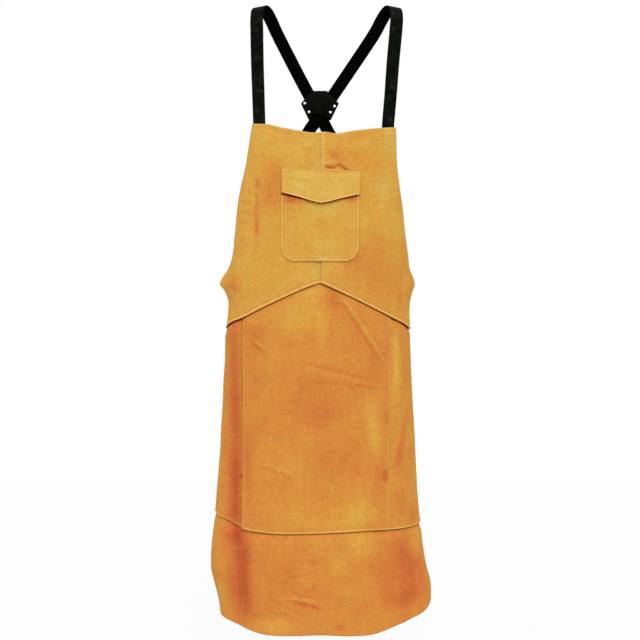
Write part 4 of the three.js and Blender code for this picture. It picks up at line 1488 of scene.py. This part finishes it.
STRAP_ROWS = 560
STRAP_ROUND = 0.0006
ROUTE_POINTS = 4000


def black_leather(name, face, fleck, gloss):
    """Dyed and waxed leather with a pebbled grain and pale flecks of wear."""
    material, shader, start = finish(name, {"Specular IOR Level": gloss})
    place = start.node("TexCoord", output=3)
    grain = start.node("TexVoronoi", {"feature": "SMOOTH_F1"}, {"Vector": place, "Scale": 620})
    pores = speckle(start, scale=1500, detail=3)
    cloud = speckle(start, scale=60, detail=4)
    wear = ramped(start, cloud * 0.6 + pores * 0.4, [(0.5, (0, 0, 0)), (0.75, (1, 1, 1))])
    start.feed(shader["Base Color"], blend(start, wear, (*face, 1), (*fleck, 1)))
    start.feed(shader["Roughness"], 0.5 + cloud * 0.25)
    relief(start, shader, grain * 0.8 + pores * 0.4, strength=0.35, depth=0.0004)
    return material


strap_leather = black_leather("black_strap_leather", (0.0014, 0.0024, 0.0011), (0.021, 0.025, 0.018), 0.025)
# The strap's inner face and rim take a darker copy of its leather, a painted shade of the side that lies in
# shadow.
shaded_strap_inside = black_leather("black_strap_inside", (0.0010, 0.0012, 0.0010), (0.003, 0.003, 0.003), 0.01)


SAME_PLACE = 1e-6


def threaded(points):
    """A smooth way through points, from 0 at the first to 1 at the last."""
    points = np.array(points)
    ends = np.vstack([2 * points[0] - points[1], points, 2 * points[-1] - points[-2]])
    gaps = np.sqrt(np.linalg.norm(np.diff(ends, axis=0), axis=1))

    def way(share):
        place = np.clip(share, 0, 1) * (len(points) - 1)
        row = np.minimum(place.astype(int), len(points) - 2)
        step = (place - row)[:, None]
        before, start, end, after = (ends[row + index] for index in range(4))
        gap = np.where(gaps[row + 1] < SAME_PLACE, 1, gaps[row + 1])[:, None]
        gap_before, gap_after = (
            np.where(gaps[row + index] < SAME_PLACE, gap[:, 0], gaps[row + index])[:, None]
            for index in (0, 2))
        leaves = (start - before) / gap_before - (end - before) / (gap_before + gap) + (end - start) / gap
        comes = (end - start) / gap - (after - start) / (gap + gap_after) + (after - end) / gap_after
        back = 1 - step
        middle = back * back * (1 + 2 * step) * start + step * step * (3 - 2 * step) * end
        return middle + step * back * gap * (back * leaves - step * comes)

    return way


def on_patch(x, y, out):
    """A point given in the plane of the crossing patch, which leans with the back."""
    turn = math.pi / 2 + PATCH["lean"]
    return np.array([
        PATCH["x"] + x,
        PATCH["y"] + y * math.cos(turn) - out * math.sin(turn),
        PATCH["z"] + y * math.sin(turn) + out * math.cos(turn),
    ])


patch_back = on_patch(0, 0, -1) - on_patch(0, 0, 0)


def strap_stations(name):
    """The places that a strap passes, and the way that its face looks at each."""
    side = -1 if name == "left" else 1
    inside = -(LEATHER + STRAP["thickness"]) / 2 - STRAP_GAP
    places = []
    faces = []

    def on_leather(s, z, hollow):
        point, normal = raised(np.array([s]), np.array([z]), np.array([inside - hollow]))
        places.append(point[0])
        faces.append(normal[0])

    end = STRAP_ENDS[name]
    for share in (0, 0.5, 1):
        on_leather(end["s"], mix(end["bottom"], end["top"], share), HOLLOW["bib"])
    for x, y, z, turn in zip(FRONT_RUN[name], FRONT_RUN["y"], FRONT_RUN["z"], FRONT_RUN["turn"]):
        places.append(np.array([x, y, z]))
        faces.append(np.array([side * turn, -1, 0]))
    for x, degrees in zip(ARCH[name], ARCH["angle"]):
        angle = math.radians(degrees)
        out = np.array([0, math.cos(angle), math.sin(angle)])
        middle = np.array([x, SHOULDER["y"], STRAP["thickness"] / 2 - SHOULDER["radius"]])
        places.append(middle + out * SHOULDER["radius"])
        faces.append(out + np.array([side * SHOULDER["slope"], 0, 0]))
    for y in CROSSING_STATIONS:
        x = CROSSING["x"] + side * CROSSING[name] * (y - CROSSING["y"])
        places.append(on_patch(x, y, -side * STRAP_STEP))
        faces.append(patch_back)
    start = places[-1][2]
    for span in range(1, BACK["spans"]):
        share = span / BACK["spans"]
        sideways = -side * math.sin(share * math.pi / 2)
        backward = math.cos(share * math.pi / 2)
        z = mix(start, WAIST_END[0][1], share)
        places.append(np.array([BACK["width"] * sideways, BACK["y"] + BACK["depth"] * backward, z]))
        face = np.array([BACK["depth"] * sideways, BACK["width"] * backward, 0])
        faces.append(face / np.linalg.norm(face))
    for s, z in WAIST_END:
        on_leather(-side * s, z, HOLLOW["waist"])
    return places, faces


def strap_piece(name):
    """A strap laid along its stations."""
    places, faces = strap_stations(name)
    way = threaded(places)
    facing = threaded(faces)
    shares = np.linspace(0, 1, ROUTE_POINTS)
    length = run(way(shares))
    mesh, across, up = grid(f"strap_{name}_leather", STRAP_COLUMNS, STRAP_ROWS)
    share = np.interp(up * length[-1], length, shares)
    nudge = 1 / ROUTE_POINTS
    ahead = way(share + nudge) - way(share - nudge)
    side = np.cross(ahead, facing(share))
    side /= np.linalg.norm(side, axis=-1, keepdims=True)
    points = way(share) + side * ((across - 0.5) * STRAP["width"])[:, None]
    mesh.vertices.foreach_set("co", points.ravel())
    piece = shown(mesh.name, mesh, [strap_leather, shaded_strap_inside])
    thicken(piece, STRAP["thickness"], STRAP_ROUND, inside=1)
    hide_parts("strap_" + name)


strap_piece("left")
strap_piece("right")

# Stitches that hold the straps: two lines across the left end, and a box on the right one.
STRAP_SEAMS = (
    ("left", (-0.147, -0.281), (-0.122, -0.282)),
    ("left", (-0.147, -0.308), (-0.122, -0.308)),
    ("right", (0.137, -0.288), (0.155, -0.287)),
    ("right", (0.155, -0.287), (0.155, -0.324)),
    ("right", (0.155, -0.324), (0.137, -0.324)),
    ("right", (0.137, -0.324), (0.137, -0.288)),
)
STRAP_SEAM_DEPTH = STRAP_GAP + HOLLOW["bib"] + STRAP["thickness"]
strap_seams = [
    sewn(line(start[0], end[0]), line(start[1], end[1]), bib_lift(side), STRAP_SEAM_DEPTH)
    for side, start, end in STRAP_SEAMS
]
stitching("strap_stitching", strap_seams, pale_thread)

# Crossing patch.
# Two six-sided layers of black leather, one on each face of the crossing straps, held by four rivets.
# Their corners are rounded and their edges waxed smooth.
PATCH_LAYERS = {
    "inner": {"half": 0.031, "bottom": -0.020, "side": 1},
    "outer": {"half": 0.025, "bottom": -0.034, "side": -1},
}
PATCH_TOP = (0.016, 0.032)
PATCH_WING = (0.0435, 0.004)
PATCH_FACE = STRAP_STEP + STRAP["thickness"] / 2 + STRAP_GAP
PATCH_CORNER = 0.0025
PATCH_ROUND = 0.0006
FACING_IN = 0.9

patch_leather = black_leather("black_patch_leather", (0.0012, 0.0014, 0.0011), (0.008, 0.009, 0.007), 0.05)
# The outer layer's inward face is a lighter grey, a painted highlight where it shows below the inner layer.
patch_inside_highlight = black_leather("black_patch_inside", (0.0120, 0.0120, 0.0085), (0.040, 0.038, 0.028), 0.02)


def patch_layer(name, half, bottom, side):
    """One layer of the patch: a shape with rounded corners, drawn out to its thickness, with soft edges."""
    outline = [(-half, bottom), (half, bottom), PATCH_WING, PATCH_TOP]
    outline += [(-x, y) for x, y in (PATCH_TOP, PATCH_WING)]
    near = PATCH_FACE if side > 0 else -PATCH_FACE - PATCH["thickness"]
    shape = bmesh.new()
    face = shape.faces.new([shape.verts.new((x, y, near)) for x, y in outline])
    bmesh.ops.bevel(
        shape, geom=face.verts[:], affect="VERTICES", offset=PATCH_CORNER, offset_type="OFFSET",
        segments=4, profile=0.5, material=-1)
    drawn = bmesh.ops.extrude_face_region(shape, geom=shape.faces[:])
    far = [part for part in drawn["geom"] if isinstance(part, bmesh.types.BMVert)]
    bmesh.ops.translate(shape, verts=far, vec=(0, 0, PATCH["thickness"]))
    rims = [edge for edge in shape.edges if edge.calc_face_angle(0) > EDGE_ANGLE]
    bmesh.ops.bevel(
        shape, geom=rims, affect="EDGES", offset=PATCH_ROUND, offset_type="OFFSET",
        segments=2, profile=0.5, material=-1)
    bmesh.ops.recalc_face_normals(shape, faces=shape.faces[:])
    for face in shape.faces:
        face.material_index = int(name == "outer" and face.normal.z > FACING_IN)
    for point in shape.verts:
        point.co = on_patch(*point.co)
    mesh = bpy.data.meshes.new(f"cross_patch_{name}_leather")
    shape.to_mesh(mesh)
    shape.free()
    piece = shown(mesh.name, mesh, [patch_leather, patch_inside_highlight])
    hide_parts("cross_patch_" + name)


for name, sizes in PATCH_LAYERS.items():
    patch_layer(name, **sizes)

# Rivets.
# Four nickel rivets through both layers of the patch, with a domed cap on each face.
RIVETS = {
    "rivet_1": (-0.034, 0.004),
    "rivet_2": (-0.0245, -0.0155),
    "rivet_3": (0.0335, -0.0025),
    "rivet_4": (0.024, -0.016),
}
RIVET = {"cap": 0.003, "dome": 0.0014, "shank": 0.0015, "seat": 0.0003}
RIVET_DOME = ((1, 0), (1, 0.25), (0.93, 0.5), (0.75, 0.76), (0.45, 0.94), (0, 1))
RIVET_STEPS = 32


def nickel_finish(name):
    """Bright nickel with fine scuffs."""
    material, shader, start = finish(name, {"Metallic": 1, "Base Color": (0.94, 0.94, 0.92, 1)})
    scuff = speckle(start, scale=900, detail=4)
    start.feed(shader["Roughness"], 0.12 + scuff * 0.25)
    relief(start, shader, scuff, strength=0.08, depth=0.0002)
    return material


nickel = nickel_finish("bright_nickel")


def rivet_piece(name, x, y):
    """A rivet turned about its own axis: two domed caps on a shank."""
    seat = PATCH_FACE + PATCH["thickness"] + RIVET["seat"]
    cap = [(RIVET["cap"] * out, seat + RIVET["dome"] * up) for out, up in RIVET_DOME]
    upper = [(RIVET["shank"], seat)] + cap
    profile = [(out, -up) for out, up in reversed(upper)] + upper
    shape = bmesh.new()
    points = [shape.verts.new((out, 0, up)) for out, up in profile]
    edges = [shape.edges.new(pair) for pair in zip(points, points[1:])]
    bmesh.ops.spin(
        shape, geom=points + edges, cent=(0, 0, 0), axis=(0, 0, 1), angle=2 * math.pi,
        steps=RIVET_STEPS, use_merge=True)
    bmesh.ops.remove_doubles(shape, verts=shape.verts[:], dist=SAME_PLACE)
    bmesh.ops.recalc_face_normals(shape, faces=shape.faces[:])
    for point in shape.verts:
        out_x, out_y, up = point.co
        point.co = on_patch(x + out_x, y + out_y, up)
    mesh = bpy.data.meshes.new(name + "_nickel")
    shape.to_mesh(mesh)
    shape.free()
    piece = shown(mesh.name, mesh, [nickel])
    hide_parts(name)


for name, place in RIVETS.items():
    rivet_piece(name, *place)

# Floor, light and background.
# A plain pale floor below the apron, a bright white surround, and wide soft lamps in front and at both
# sides. The floor and the surround are whiter to the eye than the light that they throw.
FLOOR_Z = -1.48
FLOOR_SIZE = 6
FLOOR_WHITE = 0.93
FLOOR_TONES = ((0.68, 0.68, 0.67), (0.72, 0.72, 0.71))
SURROUND = 0.53
LAMPS = {  # the way each lamp lies, its strength, and how many degrees wide it looks from the apron
    "front_lamp": {"way": (0.05, -1, 1.05), "strength": 1.56, "wide": 24},
    "left_lamp": {"way": (-1, -0.3, 0.4), "strength": 0.60, "wide": 50},
    "right_lamp": {"way": (1, -0.3, 0.4), "strength": 0.48, "wide": 50},
}

floor_shape = bmesh.new()
bmesh.ops.create_grid(floor_shape, x_segments=1, y_segments=1, size=FLOOR_SIZE / 2)
bmesh.ops.translate(floor_shape, verts=floor_shape.verts[:], vec=(0, 0, FLOOR_Z))
floor_mesh = bpy.data.meshes.new("floor")
floor_shape.to_mesh(floor_mesh)
floor_shape.free()
floor = bpy.data.objects.new("floor", floor_mesh)
bpy.context.scene.collection.objects.link(floor)
floor_finish = {"Roughness": 0.9, "Specular IOR Level": 0.1}
floor_material, floor_shader, floor_start = finish("pale_floor", floor_finish)
floor_colour = ramped(floor_start, speckle(floor_start, scale=3, detail=2), list(enumerate(FLOOR_TONES)))
floor_start.feed(floor_shader["Base Color"], floor_colour)
floor_nodes = floor_material.node_tree.nodes
lit_floor = Shade(floor_material.node_tree, floor_nodes["Principled BSDF"].outputs[0])
white_floor = floor_start.node("Emission", sockets={"Strength": 1})
whiter = floor_start.node("LightPath", output=0) * FLOOR_WHITE
floor_surface = floor_start.node("MixShader", sockets={0: whiter, 1: lit_floor, 2: white_floor})
floor_start.feed(floor_nodes["Material Output"].inputs["Surface"], floor_surface)
floor_mesh.materials.append(floor_material)

world = bpy.data.worlds.new("surround")
world.use_nodes = True
sky = Shade(world.node_tree)
seen = sky.node("LightPath", output=0) + sky.node("LightPath", output=3)
lit = sky.node("Background", sockets={"Color": (1, 1, 1, 1), "Strength": SURROUND})
white = sky.node("Background", sockets={"Color": (1, 1, 1, 1), "Strength": 1})
surround = sky.node("MixShader", sockets={0: seen, 1: lit, 2: white})
sky.feed(world.node_tree.nodes["World Output"].inputs["Surface"], surround)
bpy.context.scene.world = world

for name, values in LAMPS.items():
    lamp = bpy.data.lights.new(name, "SUN")
    lamp.energy = values["strength"]
    lamp.angle = math.radians(values["wide"])
    lamp_place = bpy.data.objects.new(name, lamp)
    lamp_place.rotation_euler = Vector(values["way"]).to_track_quat("Z", "Y").to_euler()
    bpy.context.scene.collection.objects.link(lamp_place)
bpy.context.scene.view_settings.view_transform = "Standard"

bpy.context.view_layer.update()
